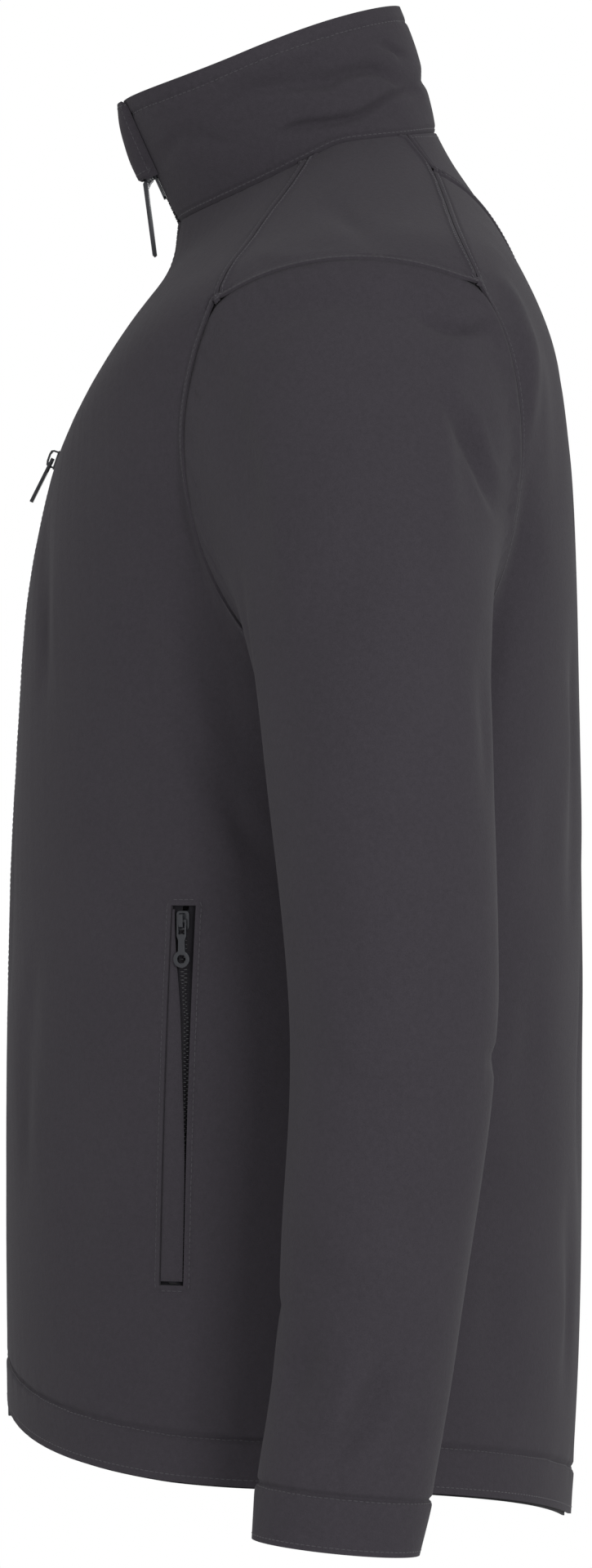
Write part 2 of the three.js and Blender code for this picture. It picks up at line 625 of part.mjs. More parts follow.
const closedGeometry = (points, faces) => {
  let volume = 0;
  for (const [a, b, c] of faces) {
    volume += points[a].dot(points[b].clone().cross(points[c]));
  }
  const position = [];
  for (const face of faces) {
    const ordered = volume < 0 ? face.slice().reverse() : face;
    ordered.forEach((k) => position.push(points[k].x, points[k].y, points[k].z));
  }
  const geometry = new THREE.BufferGeometry();
  geometry.setAttribute("position", new THREE.Float32BufferAttribute(position, 3));
  geometry.computeVertexNormals();
  return geometry;
};

const wallOf = (cells, thickness, options) => {
  const outer = cells.map((row) => row.map(({ point }) => point));
  const inner = cells.map((row, i) =>
    row.map(({ point, normal }) => point.clone().addScaledVector(normal, -thickness(i))),
  );
  return wall(outer, inner, options);
};

const part = new THREE.Group();
const add = (name, geometry, color, roughness = 0.85, metalness = 0) => {
  const mesh = new THREE.Mesh(geometry, new THREE.MeshStandardMaterial({ color, roughness, metalness }));
  mesh.name = name;
  part.add(mesh);
};

const CLOTH = 0x3d3b40;
const TAPE = 0x1d1c1f;
const HARDWARE = 0x2b2d33;

// The level at which the body has a height, below the upper chest.
const levelAtZ = (angle, z) => {
  let low = UPPER_CHEST_LEVEL;
  let high = HEM_LEVEL;
  for (let i = 0; i < 40; i += 1) {
    const middle = (low + high) / 2;
    if (bodyPoint(angle, middle).z > z) {
      low = middle;
    } else {
      high = middle;
    }
  }
  return low;
};
// Lower body rows, from the top of the pocket slot to the hem.
const pocketTopLevel = levelAtZ(POCKET.fromAngle, POCKET.topZ);
const pocketBottomLevel = levelAtZ(POCKET.fromAngle, POCKET.bottomZ);
const spread = (from, to, count) => Array.from({ length: count }, (_, i) => mix(from, to, i / count));
const lowerLevels = [
  ...spread(pocketTopLevel, pocketBottomLevel, POCKET_ROWS),
  ...spread(pocketBottomLevel, HEM_STITCH_LEVEL, BODY_ROWS_BELOW_POCKET),
  HEM_STITCH_LEVEL,
  HEM_LEVEL,
];
const pocketRow = (i) => i >= 0 && i < POCKET_ROWS;

const frontColumns = NECK_FRONT_COLUMNS;
const frontUpperRows = shoulderRows + ARMHOLE_FRONT_ROWS + SIDE_SEAM_ROWS;
const columnsBeforePocket = frontColumns - POCKET_COLUMNS_BEHIND - 1;
const frontAngle = (j, level) => {
  const edge = frontEdgeAngle(level);
  if (j <= columnsBeforePocket) {
    return mix(edge, POCKET.fromAngle, j / columnsBeforePocket);
  }
  return mix(POCKET.toAngle, SIDE_SEAM_ANGLE, (j - columnsBeforePocket - 1) / POCKET_COLUMNS_BEHIND);
};
const range = (count) => Array.from({ length: count }, (_, i) => i);
const frontRow = (level) => range(frontColumns + 1).map((j) => ({ angle: frontAngle(j, level), level }));
const chestFront = frontRow(pocketTopLevel);
const sideSeam = range(SIDE_SEAM_ROWS).map((i) => ({
  angle: SIDE_SEAM_ANGLE,
  level: mix(ARMPIT_LEVEL, pocketTopLevel, (i + 1) / SIDE_SEAM_ROWS),
}));

const frontEdge = range(frontUpperRows + 1).map((i) => {
  const level = (pocketTopLevel * i) / frontUpperRows;
  return { angle: frontEdgeAngle(level), level };
});
frontEdge[0] = neckFront[0];
const frontSeamSide = [...seamFront, ...armholeFront.slice(1), ...sideSeam];
const frontUpper = fillPanel({ top: neckFront, bottom: chestFront, left: frontEdge, right: frontSeamSide });
const frontLower = lowerLevels.slice(1).map(frontRow);
const frontGrid = [...frontUpper, ...frontLower];
const slotCell = (i, j) => pocketRow(i - frontUpperRows) && j === columnsBeforePocket;
const bodyThickness = (i) => (i >= frontGrid.length - 2 ? HEM_WALL : WALL);

for (const [name, side] of [["front_left", 1], ["front_right", -1]]) {
  const cells = drawIn(settleAll(frontGrid, side), ["top", "right"]);
  add(name, wallOf(cells, bodyThickness, { holes: slotCell }), CLOTH);
}

// Back panel: upper part under the yoke and shoulder seams, lower part to the hem.
const backColumns = YOKE_COLUMNS;
const backUpperRows = SHOULDER_ROWS_DOWN + ARMHOLE_BACK_ROWS + SIDE_SEAM_ROWS;
const backAngle = (j) => mix(SIDE_SEAM_ANGLE, 180, (1 - j / backColumns) ** BACK_COLUMN_CROWDING);
const chestBack = range(backColumns + 1).map((j) => ({ angle: backAngle(j), level: pocketTopLevel }));
const backMiddle = range(backUpperRows + 1).map((i) => ({
  angle: 180,
  level: mix(YOKE_BOTTOM.level, pocketTopLevel, i / backUpperRows),
}));
const backSeamSide = [...seamBackDown, ...armholeBack.slice(1), ...sideSeam];
const backTop = yokeSeam.slice().reverse();
const backUpper = fillPanel({ top: backTop, bottom: chestBack, left: backMiddle, right: backSeamSide });
const backLower = lowerLevels.slice(1).map((level) =>
  range(backColumns + 1).map((j) => ({ angle: backAngle(j), level })),
);
const backGrid = [...backUpper, ...backLower];
const bothSides = (grid) => {
  const left = settleAll(grid, 1);
  const right = settleAll(grid, -1);
  return left.map((row, i) => [...row.slice().reverse(), ...right[i].slice(1)]);
};
const backCells = drawIn(bothSides(backGrid), ["top", "left", "right"]);
add("back", wallOf(backCells, (i) => (i >= backGrid.length - 2 ? HEM_WALL : WALL)), CLOTH);

// Yoke under the collar, pointed towards the shoulders.
const yokeMiddle = range(SHOULDER_ROWS_UP + 1).map((i) => ({
  angle: 180,
  level: (YOKE_BOTTOM.level * i) / SHOULDER_ROWS_UP,
}));
yokeMiddle[0] = neckBack[YOKE_COLUMNS];
const yokeGrid = fillPanel({
  top: neckBack.slice().reverse(),
  bottom: yokeSeam.slice().reverse(),
  left: yokeMiddle,
  right: seamBackUp,
});
add("yoke", wallOf(drawIn(bothSides(yokeGrid), ["top", "bottom", "left", "right"]), () => WALL), CLOTH);

// Shoulder panels between the two felled seams, from the neck to the armhole.
const shoulderGrid = fillPanel({
  top: neckSide,
  bottom: armholeTop,
  left: seamFront,
  right: [...seamBackUp, ...seamBackDown.slice(1)],
});
for (const [name, side] of [["shoulder_left", 1], ["shoulder_right", -1]]) {
  const cells = drawIn(settleAll(shoulderGrid, side), ["top", "bottom", "left", "right"]);
  add(name, wallOf(cells, () => WALL), CLOTH);
}

// Sleeves: a fan from the armhole loop to the first level ring, then rings to the cuff.
const sleeveRingPoint = (at, around) => {
  const ring = smoothRow(SLEEVE_RINGS, at);
  const middleY = (ring.frontY + ring.backY) / 2;
  const inward = Math.cos(around * RAD);
  const forward = Math.sin(around * RAD);
  const x = ring.middleX - ring.halfX * inward;
  const y = middleY - ((ring.backY - ring.frontY) / 2) * forward;
  return vec(x, y, ring.z + ring.tilt * forward);
};
const loopFar = [0];
loopPoints.forEach((p, k) => loopFar.push(loopFar[k] + p.distanceTo(loopPoints[(k + 1) % loop.length])));
const underarmAround = loop.map((_, k) => (360 * loopFar[k]) / loopFar[loop.length]);
const sleevePath = (k) => {
  const from = loopPoints[k];
  const to = sleeveRingPoint(0, underarmAround[k]);
  const below = sleeveRingPoint(0.1, underarmAround[k]).sub(to).normalize();
  const span = from.distanceTo(to);
  const startPull = SLEEVE_START_PULL.base + SLEEVE_START_PULL.perSpan * span;
  const leave = loop[k].across.clone().multiplyScalar(startPull);
  const arrive = below.multiplyScalar(SLEEVE_END_PULL.base + SLEEVE_END_PULL.perSpan * span);
  return (s) => {
    const point = from.clone().multiplyScalar(2 * s ** 3 - 3 * s ** 2 + 1);
    point.addScaledVector(leave, s ** 3 - 2 * s ** 2 + s);
    point.addScaledVector(to, 3 * s ** 2 - 2 * s ** 3);
    return point.addScaledVector(arrive, s ** 3 - s ** 2);
  };
};
const lastRing = SLEEVE_RINGS.length - 1;
const cuffSeamAt = lastRing - 1;
const sleeveBase = loop.map((_, k) => {
  const path = sleevePath(k);
  const fan = range(SLEEVE_FAN_ROWS).map((i) => path((i / SLEEVE_FAN_ROWS) ** SLEEVE_FAN_CROWDING));
  const lower = range(SLEEVE_LOWER_ROWS + 1).map((i) =>
    sleeveRingPoint((cuffSeamAt * i) / SLEEVE_LOWER_ROWS, underarmAround[k]),
  );
  const cuff = CUFF_ROWS_UP.map((up) => sleeveRingPoint(lastRing - up, underarmAround[k]));
  return [...fan, ...lower, ...cuff];
});
const sleeveRows = sleeveBase[0].length;
const cuffRow = (i) => i >= sleeveRows - CUFF_ROWS_UP.length;
const sleeveNormal = (i, k) => {
  const pick = (row, column) => {
    const path = sleeveBase[(column + loop.length) % loop.length];
    return path[Math.min(Math.max(row, 0), sleeveRows - 1)];
  };
  const down = pick(i + 1, k).clone().sub(pick(i - 1, k));
  const round = pick(i, k + 1).clone().sub(pick(i, k - 1));
  return down.cross(round).normalize();
};
const sleeveCells = (side, folds) =>
  range(sleeveRows).map((i) =>
    loop.map((place, k) => {
      if (i === 0) {
        const { point, normal } = settle(place, side);
        return { point: point.addScaledVector(mirrored(place.across, side), SEAM_GAP / 2), normal };
      }
      const point = mirrored(sleeveBase[k][i], side);
      const normal = mirrored(sleeveNormal(i, k), side);
      const rise = cuffRow(i) ? CUFF_STEP : 0;
      const fade = Math.min(i / SLEEVE_FOLD_FADE, 1);
      const lift = foldLift(folds, SLEEVE_ARC, underarmAround[k], point.z) * fade + rise;
      return { point: point.addScaledVector(normal, lift), normal };
    }),
  );
const sleeveThickness = (i) => (cuffRow(i) ? HEM_WALL : WALL);
const addSleeve = (name, side, folds) =>
  add(name, wallOf(sleeveCells(side, folds), sleeveThickness, { round: true }), CLOTH);
addSleeve("sleeve_left", 1, SLEEVE_FOLDS_LEFT);
addSleeve("sleeve_right", -1, SLEEVE_FOLDS_RIGHT);

// Stand collar, from its top edge down to the neck seam, open at the centre front.
const neckPlaces = [...neckFront, ...neckSide.slice(1), ...neckBack.slice(1)];
const collarSigned = [
  ...neckPlaces.map((p) => [p, 1]),
  ...neckPlaces.slice(0, -1).reverse().map((p) => [p, -1]),
];
const collarEdgeAngle = (share) => {
  const low = bodyPoint(0, 0).y - RINGS[0].sideY;
  const high = COLLAR_TOP.frontY - COLLAR_TOP.sideY;
  return Math.asin(FRONT_EDGE_X / Math.abs(mix(low, high, share))) / RAD;
};
const collarCells = range(COLLAR_ROWS + 1).map((i) => {
  const share = 1 - i / COLLAR_ROWS;
  return collarSigned.map(([place, side]) => {
    if (i === COLLAR_ROWS) {
      return settle(place, side);
    }
    const edge = place === neckPlaces[0];
    const angle = edge ? collarEdgeAngle(share) : place.angle;
    const point = collarPoint(angle * side, share);
    const normal = mirrored(collarNormal(angle, share), side);
    const height = point.z - bodyPoint(angle, 0).z;
    const lift = foldLift(COLLAR_FOLDS, COLLAR_ARC, angle * side, height);
    return { point: point.addScaledVector(normal, lift), normal };
  });
});
add("collar", wallOf(drawIn(collarCells, ["bottom"]), () => COLLAR_WALL), CLOTH);

// A place on the centre-front line: body levels below the neck seam, collar shares
// above it, with x across and depth out of the cloth.
const frontLinePoint = ({ share, level }, x, depth) => {
  if (share !== undefined) {
    const low = RINGS[0].sideY - RINGS[0].frontY;
    const high = COLLAR_TOP.sideY - COLLAR_TOP.frontY;
    const angle = Math.asin(x / mix(low, high, share)) / RAD;
    return collarPoint(angle, share).addScaledVector(collarNormal(angle, share), depth);
  }
  const ring = smoothRow(RINGS, level);
  const angle = Math.asin(x / (ring.sideY - ring.frontY)) / RAD;
  const normal = level === 0 ? neckNormal(angle) : bodyNormal(angle, level);
  return bodyPoint(angle, level).addScaledVector(normal, depth);
};

const partedStations = [1, 0.75, 0.5, SLIDER_SHARE + SLIDER_NECK.above].map((share) => ({ share }));
const closedStations = [SLIDER_SHARE + SLIDER_NECK.below, SLIDER_SHARE / 2].map((share) => ({ share }));
const bodyLevels = [...frontEdge.map(({ level }) => level), ...lowerLevels.slice(1)];
const bodyStations = bodyLevels.map((level) => ({ level }));
for (const [name, side] of [["front_zip_left", 1], ["front_zip_right", -1]]) {
  const outer = [];
  const inner = [];
  const addRow = (station, xs, tops, bottoms) => {
    outer.push(xs.map((x, k) => mirrored(frontLinePoint(station, x, tops[k]), side)));
    inner.push(xs.map((x, k) => mirrored(frontLinePoint(station, x, bottoms[k]), side)));
  };
  const { tapeTop, tapeBottom, chainTop, chainBottom } = FRONT_ZIP;
  const chainEdge = FRONT_ZIP_CHAIN_HALF;
  for (const station of partedStations) {
    const xs = range(4).map((k) => mix(PARTED_TAPE.from, FRONT_ZIP_EDGE_REACH, k / 3));
    addRow(station, xs, Array(4).fill(PARTED_TAPE.top), Array(4).fill(PARTED_TAPE.bottom));
  }
  for (const station of [...closedStations, ...bodyStations]) {
    const reach = station.level > 0 ? FRONT_ZIP_TAPE_REACH : FRONT_ZIP_EDGE_REACH;
    const xs = [FRONT_ZIP_HALF_GAP, chainEdge, chainEdge + ZIP_STEP, reach];
    const sink = station.level >= HEM_STITCH_LEVEL ? HEM_WALL - WALL : 0;
    const tops = [chainTop, chainTop, tapeTop - sink, tapeTop - sink];
    addRow(station, xs, tops, [chainBottom, chainBottom, tapeBottom - sink, tapeBottom - sink]);
  }
  add(name, wall(outer, inner), TAPE, 0.7);
}

// Joining and cutting of hardware shapes.
const toSolid = (geometry) => {
  const loose = geometry.index ? geometry.toNonIndexed() : geometry;
  const bare = new THREE.BufferGeometry();
  bare.setAttribute("position", loose.getAttribute("position"));
  const merged = mergeVertices(bare, 1e-4);
  return new Manifold(
    new Mesh({
      numProp: 3,
      vertProperties: Float32Array.from(merged.getAttribute("position").array),
      triVerts: Uint32Array.from(merged.index.array),
    }),
  );
};
const asGeometry = (body) => {
  const { vertProperties, triVerts } = body.getMesh();
  const geometry = new THREE.BufferGeometry();
  geometry.setAttribute("position", new THREE.BufferAttribute(vertProperties, 3));
  geometry.setIndex(new THREE.BufferAttribute(triVerts, 1));
  return geometry;
};
const joined = (...geometries) => asGeometry(geometries.map(toSolid).reduce((a, b) => a.add(b)));

// Local hardware axes: x across, y out of the cloth, z up.
const FACE = new THREE.Matrix4().makeBasis(vec(-1, 0, 0), vec(0, 0, 1), vec(0, 1, 0));
const PROFILE = new THREE.Matrix4().makeBasis(vec(0, 1, 0), vec(0, 0, 1), vec(1, 0, 0));
const EXTRUSION = { bevelEnabled: false, curveSegments: 2 };
const extruded = (shape, depth) => new THREE.ExtrudeGeometry(shape, { depth, ...EXTRUSION });
const facePlate = (shape, from, to) => extruded(shape, to - from).applyMatrix4(FACE).translate(0, from, 0);
const roundPin = (radius, length) => new THREE.CylinderGeometry(radius, radius, length, 12);
const sidePlate = (shape, from, to) =>
  extruded(shape, to - from).applyMatrix4(PROFILE).translate(from, 0, 0);

const roundedRect = (width, length, radius, middle = 0) => {
  const shape = new THREE.Shape();
  const x = width / 2;
  const top = middle + length / 2;
  const low = middle - length / 2;
  shape.moveTo(-x + radius, low);
  shape.lineTo(x - radius, low);
  shape.absarc(x - radius, low + radius, radius, -Math.PI / 2, 0);
  shape.absarc(x - radius, top - radius, radius, 0, Math.PI / 2);
  shape.absarc(-x + radius, top - radius, radius, Math.PI / 2, Math.PI);
  shape.absarc(-x + radius, low + radius, radius, Math.PI, 1.5 * Math.PI);
  return shape;
};

const bodyPlates = ({ width, length, front, gapFront, gapBack, back, neckWidth, neckLength }) => [
  facePlate(roundedRect(width, length, 1.6), gapFront, front),
  facePlate(roundedRect(width, length, 1.6), back, gapBack),
  facePlate(roundedRect(neckWidth, neckLength, 0.8, (length - neckLength) / 2), back + 0.2, front - 0.2),
];

const bridgeLoop = ({ height, length, half, wall: thick }, front) => {
  const shape = new THREE.Shape();
  shape.moveTo(front - 0.4, -length / 2);
  shape.lineTo(front + height * 0.55, -length / 2);
  shape.quadraticCurveTo(front + height, -length / 2, front + height, -length / 5);
  shape.lineTo(front + height, length / 5);
  shape.quadraticCurveTo(front + height, length / 2, front + height * 0.55, length / 2);
  shape.lineTo(front - 0.4, length / 2);
  const hole = new THREE.Path();
  hole.moveTo(front + 0.3, -length / 2 + thick);
  hole.lineTo(front + 0.3, length / 2 - thick);
  hole.lineTo(front + height * 0.6, length / 2 - thick);
  hole.lineTo(front + height - thick, length / 5);
  hole.lineTo(front + height - thick, -length / 5);
  hole.lineTo(front + height * 0.6, -length / 2 + thick);
  shape.holes.push(hole);
  return sidePlate(shape, -half, half);
};

const placed = (geometry, frame) => geometry.applyMatrix4(frame);
const frameOf = (origin, out, up) => {
  const z = up.clone().addScaledVector(out, -up.dot(out)).normalize();
  const x = out.clone().cross(z).normalize();
  return new THREE.Matrix4().makeBasis(x, out, z).setPosition(origin);
};
const UP = vec(0, 0, 1);

// Centre-front slider with two lugs and a cross pin, and the bar tab that hangs on it.
const slideOrigin = collarPoint(0, SLIDER_SHARE);
const slideFrame = frameOf(slideOrigin, collarNormal(0, SLIDER_SHARE), UP);
const lugShape = new THREE.Shape();
lugShape.moveTo(MAIN_SLIDER.front - MAIN_LUG.sink, MAIN_PIN.up - MAIN_LUG.below);
lugShape.absarc(MAIN_PIN.depth, MAIN_PIN.up, MAIN_LUG.radius, -Math.PI / 3, Math.PI / 2);
lugShape.lineTo(MAIN_SLIDER.front - MAIN_LUG.sink, MAIN_PIN.up + MAIN_LUG.above);
const lugTo = MAIN_LUG.from + MAIN_LUG.width;
const pin = roundPin(MAIN_PIN.radius, MAIN_LUG.from + lugTo);
pin.rotateZ(Math.PI / 2).translate(0, MAIN_PIN.depth, MAIN_PIN.up);
const mainSlider = joined(
  ...bodyPlates(MAIN_SLIDER),
  sidePlate(lugShape, MAIN_LUG.from, lugTo),
  sidePlate(lugShape, -lugTo, -MAIN_LUG.from),
  pin,
);
add("front_zip_slider", placed(mainSlider, slideFrame), HARDWARE, 0.5, 0.4);

const pinPoint = vec(0, MAIN_PIN.depth, MAIN_PIN.up).applyMatrix4(slideFrame);
const tabShape = new THREE.Shape();
const halfBar = MAIN_TAB.thickness / 2;
tabShape.absarc(0, 0, MAIN_TAB.eye, -0.35 * Math.PI, 0.3 * Math.PI);
tabShape.absarc(0, 0, MAIN_TAB.eye, 0.3 * Math.PI, 0.9 * Math.PI);
tabShape.lineTo(-MAIN_TAB.topForward - halfBar, -2.5);
tabShape.lineTo(MAIN_TAB.bottomBack - halfBar, -MAIN_TAB.length + 1);
tabShape.lineTo(MAIN_TAB.bottomBack, -MAIN_TAB.length);
tabShape.lineTo(MAIN_TAB.bottomBack + halfBar, -MAIN_TAB.length + 1);
tabShape.lineTo(-MAIN_TAB.topForward + halfBar + 0.6, -5);
const eyeHole = new THREE.Path();
eyeHole.absarc(0, 0, MAIN_TAB.hole, 0, Math.PI);
eyeHole.absarc(0, 0, MAIN_TAB.hole, Math.PI, 2 * Math.PI);
tabShape.holes.push(eyeHole);
const mainTab = sidePlate(tabShape, -MAIN_TAB.width / 2, MAIN_TAB.width / 2);
add("front_zip_tab", mainTab.translate(pinPoint.x, pinPoint.y, pinPoint.z), HARDWARE, 0.5, 0.4);

// Zip garage over the collar's front edges.
const garageOuter = [];
const garageInner = [];
for (let i = 0; i <= GARAGE_GRID.rows; i += 1) {
  const share = mix(GARAGE.shareTop, GARAGE.shareBottom, i / GARAGE_GRID.rows);
  const { stand } = smoothRow(GARAGE_PROFILE, ((GARAGE_PROFILE.length - 1) * i) / GARAGE_GRID.rows);
  const outerRow = [];
  const innerRow = [];
  for (let j = 0; j <= GARAGE_GRID.columns; j += 1) {
    const u = (2 * j) / GARAGE_GRID.columns - 1;
    const x = GARAGE.halfWidth * Math.sin((u * Math.PI) / 2);
    const arch = GARAGE.clear + (stand - GARAGE.clear) * Math.cos((u * Math.PI) / 2) ** GARAGE_GRID.roundness;
    outerRow.push(frontLinePoint({ share }, x, arch + GARAGE.thick));
    innerRow.push(frontLinePoint({ share }, x * GARAGE_GRID.innerWidth, arch));
  }
  garageOuter.push(outerRow);
  garageInner.push(innerRow);
}
add("zip_garage", wall(garageOuter, garageInner), CLOTH);

// Zip box at the lower end of the centre-front zip.
const boxOrigin = bodyPoint(0, HEM_LEVEL);
const boxFrame = frameOf(boxOrigin, bodyNormal(0, HEM_LEVEL), UP);
const boxShape = roundedRect(2 * ZIP_BOX.half, ZIP_BOX.height, 1.2, -ZIP_BOX.height / 2 - ZIP_BOX.drop);
add("front_zip_box", placed(facePlate(boxShape, ZIP_BOX.back, ZIP_BOX.front), boxFrame), HARDWARE, 0.6);

// Hand pockets: a zip behind the slot, a folded welt over part of it, slider and tab.
const onFront = (angle, z, depth, side) => {
  const level = levelAtZ(angle, z);
  const normal = bodyNormal(angle, level);
  const point = bodyPoint(angle, level);
  const lift = foldLift(BODY_FOLDS, BODY_ARC, angle * side, point.z);
  return mirrored(point.addScaledVector(normal, lift + depth), side);
};
const pocketTabShape = () => {
  const { half, window: gap, windowEnd, bar, waist, ringAt, ring, ringHole } = POCKET_TAB;
  const shape = new THREE.Shape();
  shape.moveTo(-half, bar);
  shape.lineTo(-half, windowEnd - 0.9);
  shape.lineTo(-waist, windowEnd - 3);
  shape.absarc(0, ringAt, ring, 0.64 * Math.PI, 1.07 * Math.PI);
  shape.absarc(0, ringAt, ring, 1.07 * Math.PI, 1.5 * Math.PI);
  shape.absarc(0, ringAt, ring, 1.5 * Math.PI, 1.93 * Math.PI);
  shape.absarc(0, ringAt, ring, 1.93 * Math.PI, 2.36 * Math.PI);
  shape.lineTo(waist, windowEnd - 3);
  shape.lineTo(half, windowEnd - 0.9);
  shape.lineTo(half, bar);
  const hole = new THREE.Path();
  hole.moveTo(-gap, -bar);
  hole.lineTo(gap, -bar);
  hole.lineTo(gap, windowEnd);
  hole.lineTo(-gap, windowEnd);
  shape.holes.push(hole);
  return shape;
};
for (const [word, side] of [["left", 1], ["right", -1]]) {
  const { tapeTop, tapeBottom, chainTop, chainBottom } = POCKET_ZIP;
  const startZ = POCKET.topZ + POCKET_ZIP_OVERHANG;
  const endZ = POCKET.bottomZ - POCKET_ZIP_OVERHANG;
  const neckZ = POCKET_SLIDER_Z + POCKET_SLIDER.length / 2 - POCKET_SLIDER.neckLength - 0.6;
  const chainStart = neckZ - POCKET_ZIP_STEP;
  const chainEnd = POCKET.bottomZ + 2 * POCKET_ZIP_STEP;
  const chainZs = range(POCKET_ZIP_ROWS + 1).map((i) => mix(chainStart, chainEnd, i / POCKET_ZIP_ROWS));
  const zs = [startZ, neckZ, ...chainZs, chainEnd - POCKET_ZIP_STEP, endZ];
  const bare = (i) => i < 2 || i > chainZs.length + 1;
  const tops = [tapeTop, tapeTop, chainTop, chainTop, tapeTop, tapeTop];
  const bottoms = [tapeBottom, tapeBottom, chainBottom, chainBottom, tapeBottom, tapeBottom];
  const layer = (depths) =>
    zs.map((z, i) =>
      POCKET_ZIP_ANGLES.map((angle, k) => onFront(angle, z, bare(i) ? depths[0] : depths[k], side)),
    );
  const parted = (i, j) => i === 0 && j === 2;
  add(`pocket_zip_${word}`, wall(layer(tops), layer(bottoms), { holes: parted }), TAPE, 0.7);

  const welt = (depth) =>
    POCKET_WELT_EDGE.map(({ z, reach }) =>
      [0, 0.5, 1].map((u) => onFront(POCKET.fromAngle + POCKET_WELT.clear + reach * u, z, depth, side)),
    );
  add(`pocket_welt_${word}`, wall(welt(POCKET_WELT.top), welt(POCKET_WELT.top - POCKET_WELT.thick)), CLOTH);

  const middle = onFront(POCKET_MIDDLE, POCKET_SLIDER_Z, 0, side);
  const outward = mirrored(bodyNormal(POCKET_MIDDLE, levelAtZ(POCKET_MIDDLE, POCKET_SLIDER_Z)), side);
  const frame = frameOf(middle, outward, UP);
  const slider = joined(...bodyPlates(POCKET_SLIDER), bridgeLoop(POCKET_BRIDGE, POCKET_SLIDER.front));
  add(`pocket_slider_${word}`, placed(slider, frame), HARDWARE, 0.5, 0.4);
  const hang = vec(0, POCKET_SLIDER.front + POCKET_BRIDGE.pinOut, POCKET_BRIDGE.pinUp).applyMatrix4(frame);
  const plumb = frameOf(hang, outward.clone().setZ(0).normalize(), UP);
  const plate = facePlate(pocketTabShape(), -POCKET_TAB.thickness / 2, POCKET_TAB.thickness / 2);
  const ringHole = roundPin(POCKET_TAB.ringHole, 4 * POCKET_TAB.thickness).translate(0, 0, POCKET_TAB.ringAt);
  const tab = asGeometry(toSolid(plate).subtract(toSolid(ringHole)));
  add(`pocket_tab_${word}`, placed(tab, plumb), HARDWARE, 0.5, 0.4);
}

// Chest pocket zip, bonded on the right front, with its slider at the top end.
const onChest = (angle, z, depth) => {
  const level = levelAtZ(CHEST_ZIP.angle, z);
  return bodyPoint(angle, level).addScaledVector(bodyNormal(angle, level), depth);
};
const chestRow = (tops) =>
  range(CHEST_ZIP.rows + 1).map((i) => {
    const z = mix(CHEST_ZIP.topZ, CHEST_ZIP.bottomZ, i / CHEST_ZIP.rows);
    const { edgeHalf, chainHalf } = CHEST_ZIP;
    const spreads = [-edgeHalf, -chainHalf - 0.1, -chainHalf, chainHalf, chainHalf + 0.1, edgeHalf];
    return spreads.map((d, k) => onChest(CHEST_ZIP.angle + d, z, tops[k]));
  });
const { bottom: chestBottom, tapeTop: chestTape, chainTop: chestChain } = CHEST_ZIP_LAYERS;
const chestTops = [chestTape, chestTape, chestChain, chestChain, chestTape, chestTape];
const chestBottoms = Array(chestTops.length).fill(chestBottom);
add("chest_zip", wall(chestRow(chestTops), chestRow(chestBottoms)), TAPE, 0.7);
const chestOut = bodyNormal(CHEST_ZIP.angle, levelAtZ(CHEST_ZIP.angle, CHEST_SLIDER_Z));
const chestFrame = frameOf(onChest(CHEST_ZIP.angle, CHEST_SLIDER_Z, 0), chestOut, UP);
const flangeAt = CHEST_SLIDER.width / 2 - CHEST_SLIDER.flangeWidth / 2;
const flangeShape = roundedRect(CHEST_SLIDER.flangeWidth, CHEST_SLIDER.flangeLength, 0.2);
const flange = (x) =>
  facePlate(flangeShape, CHEST_SLIDER.flange, CHEST_SLIDER.front - 0.2).translate(x, 0, 0);
const chestSlider = joined(
  facePlate(
    roundedRect(CHEST_SLIDER.width, CHEST_SLIDER.length, CHEST_SLIDER.corner),
    CHEST_SLIDER.gapFront,
    CHEST_SLIDER.front,
  ),
  flange(flangeAt),
  flange(-flangeAt),
  bridgeLoop(CHEST_BRIDGE, CHEST_SLIDER.front),
);
add("chest_slider", placed(chestSlider, chestFrame), HARDWARE, 0.5, 0.4);
const chestTabMiddle = CHEST_TAB.bar - CHEST_TAB.length / 2;
const chestTabShape = roundedRect(2 * CHEST_TAB.half, CHEST_TAB.length, 1.2, chestTabMiddle);
const chestHole = new THREE.Path();
chestHole.moveTo(-CHEST_TAB.window, -CHEST_TAB.bar);
chestHole.lineTo(CHEST_TAB.window, -CHEST_TAB.bar);
chestHole.lineTo(CHEST_TAB.window, CHEST_TAB.windowEnd);
chestHole.lineTo(-CHEST_TAB.window, CHEST_TAB.windowEnd);
chestTabShape.holes.push(chestHole);
const chestPinPlace = vec(0, CHEST_SLIDER.front + CHEST_BRIDGE.pinOut, CHEST_BRIDGE.pinUp);
const chestPin = chestPinPlace.applyMatrix4(chestFrame);
const chestTabFrame = frameOf(chestPin, chestOut, UP);
const chestTab = facePlate(chestTabShape, -CHEST_TAB.thickness / 2, CHEST_TAB.thickness / 2);
chestTab.rotateX(CHEST_TAB.lean * RAD);
add("chest_tab", placed(chestTab, chestTabFrame), HARDWARE, 0.5, 0.4);

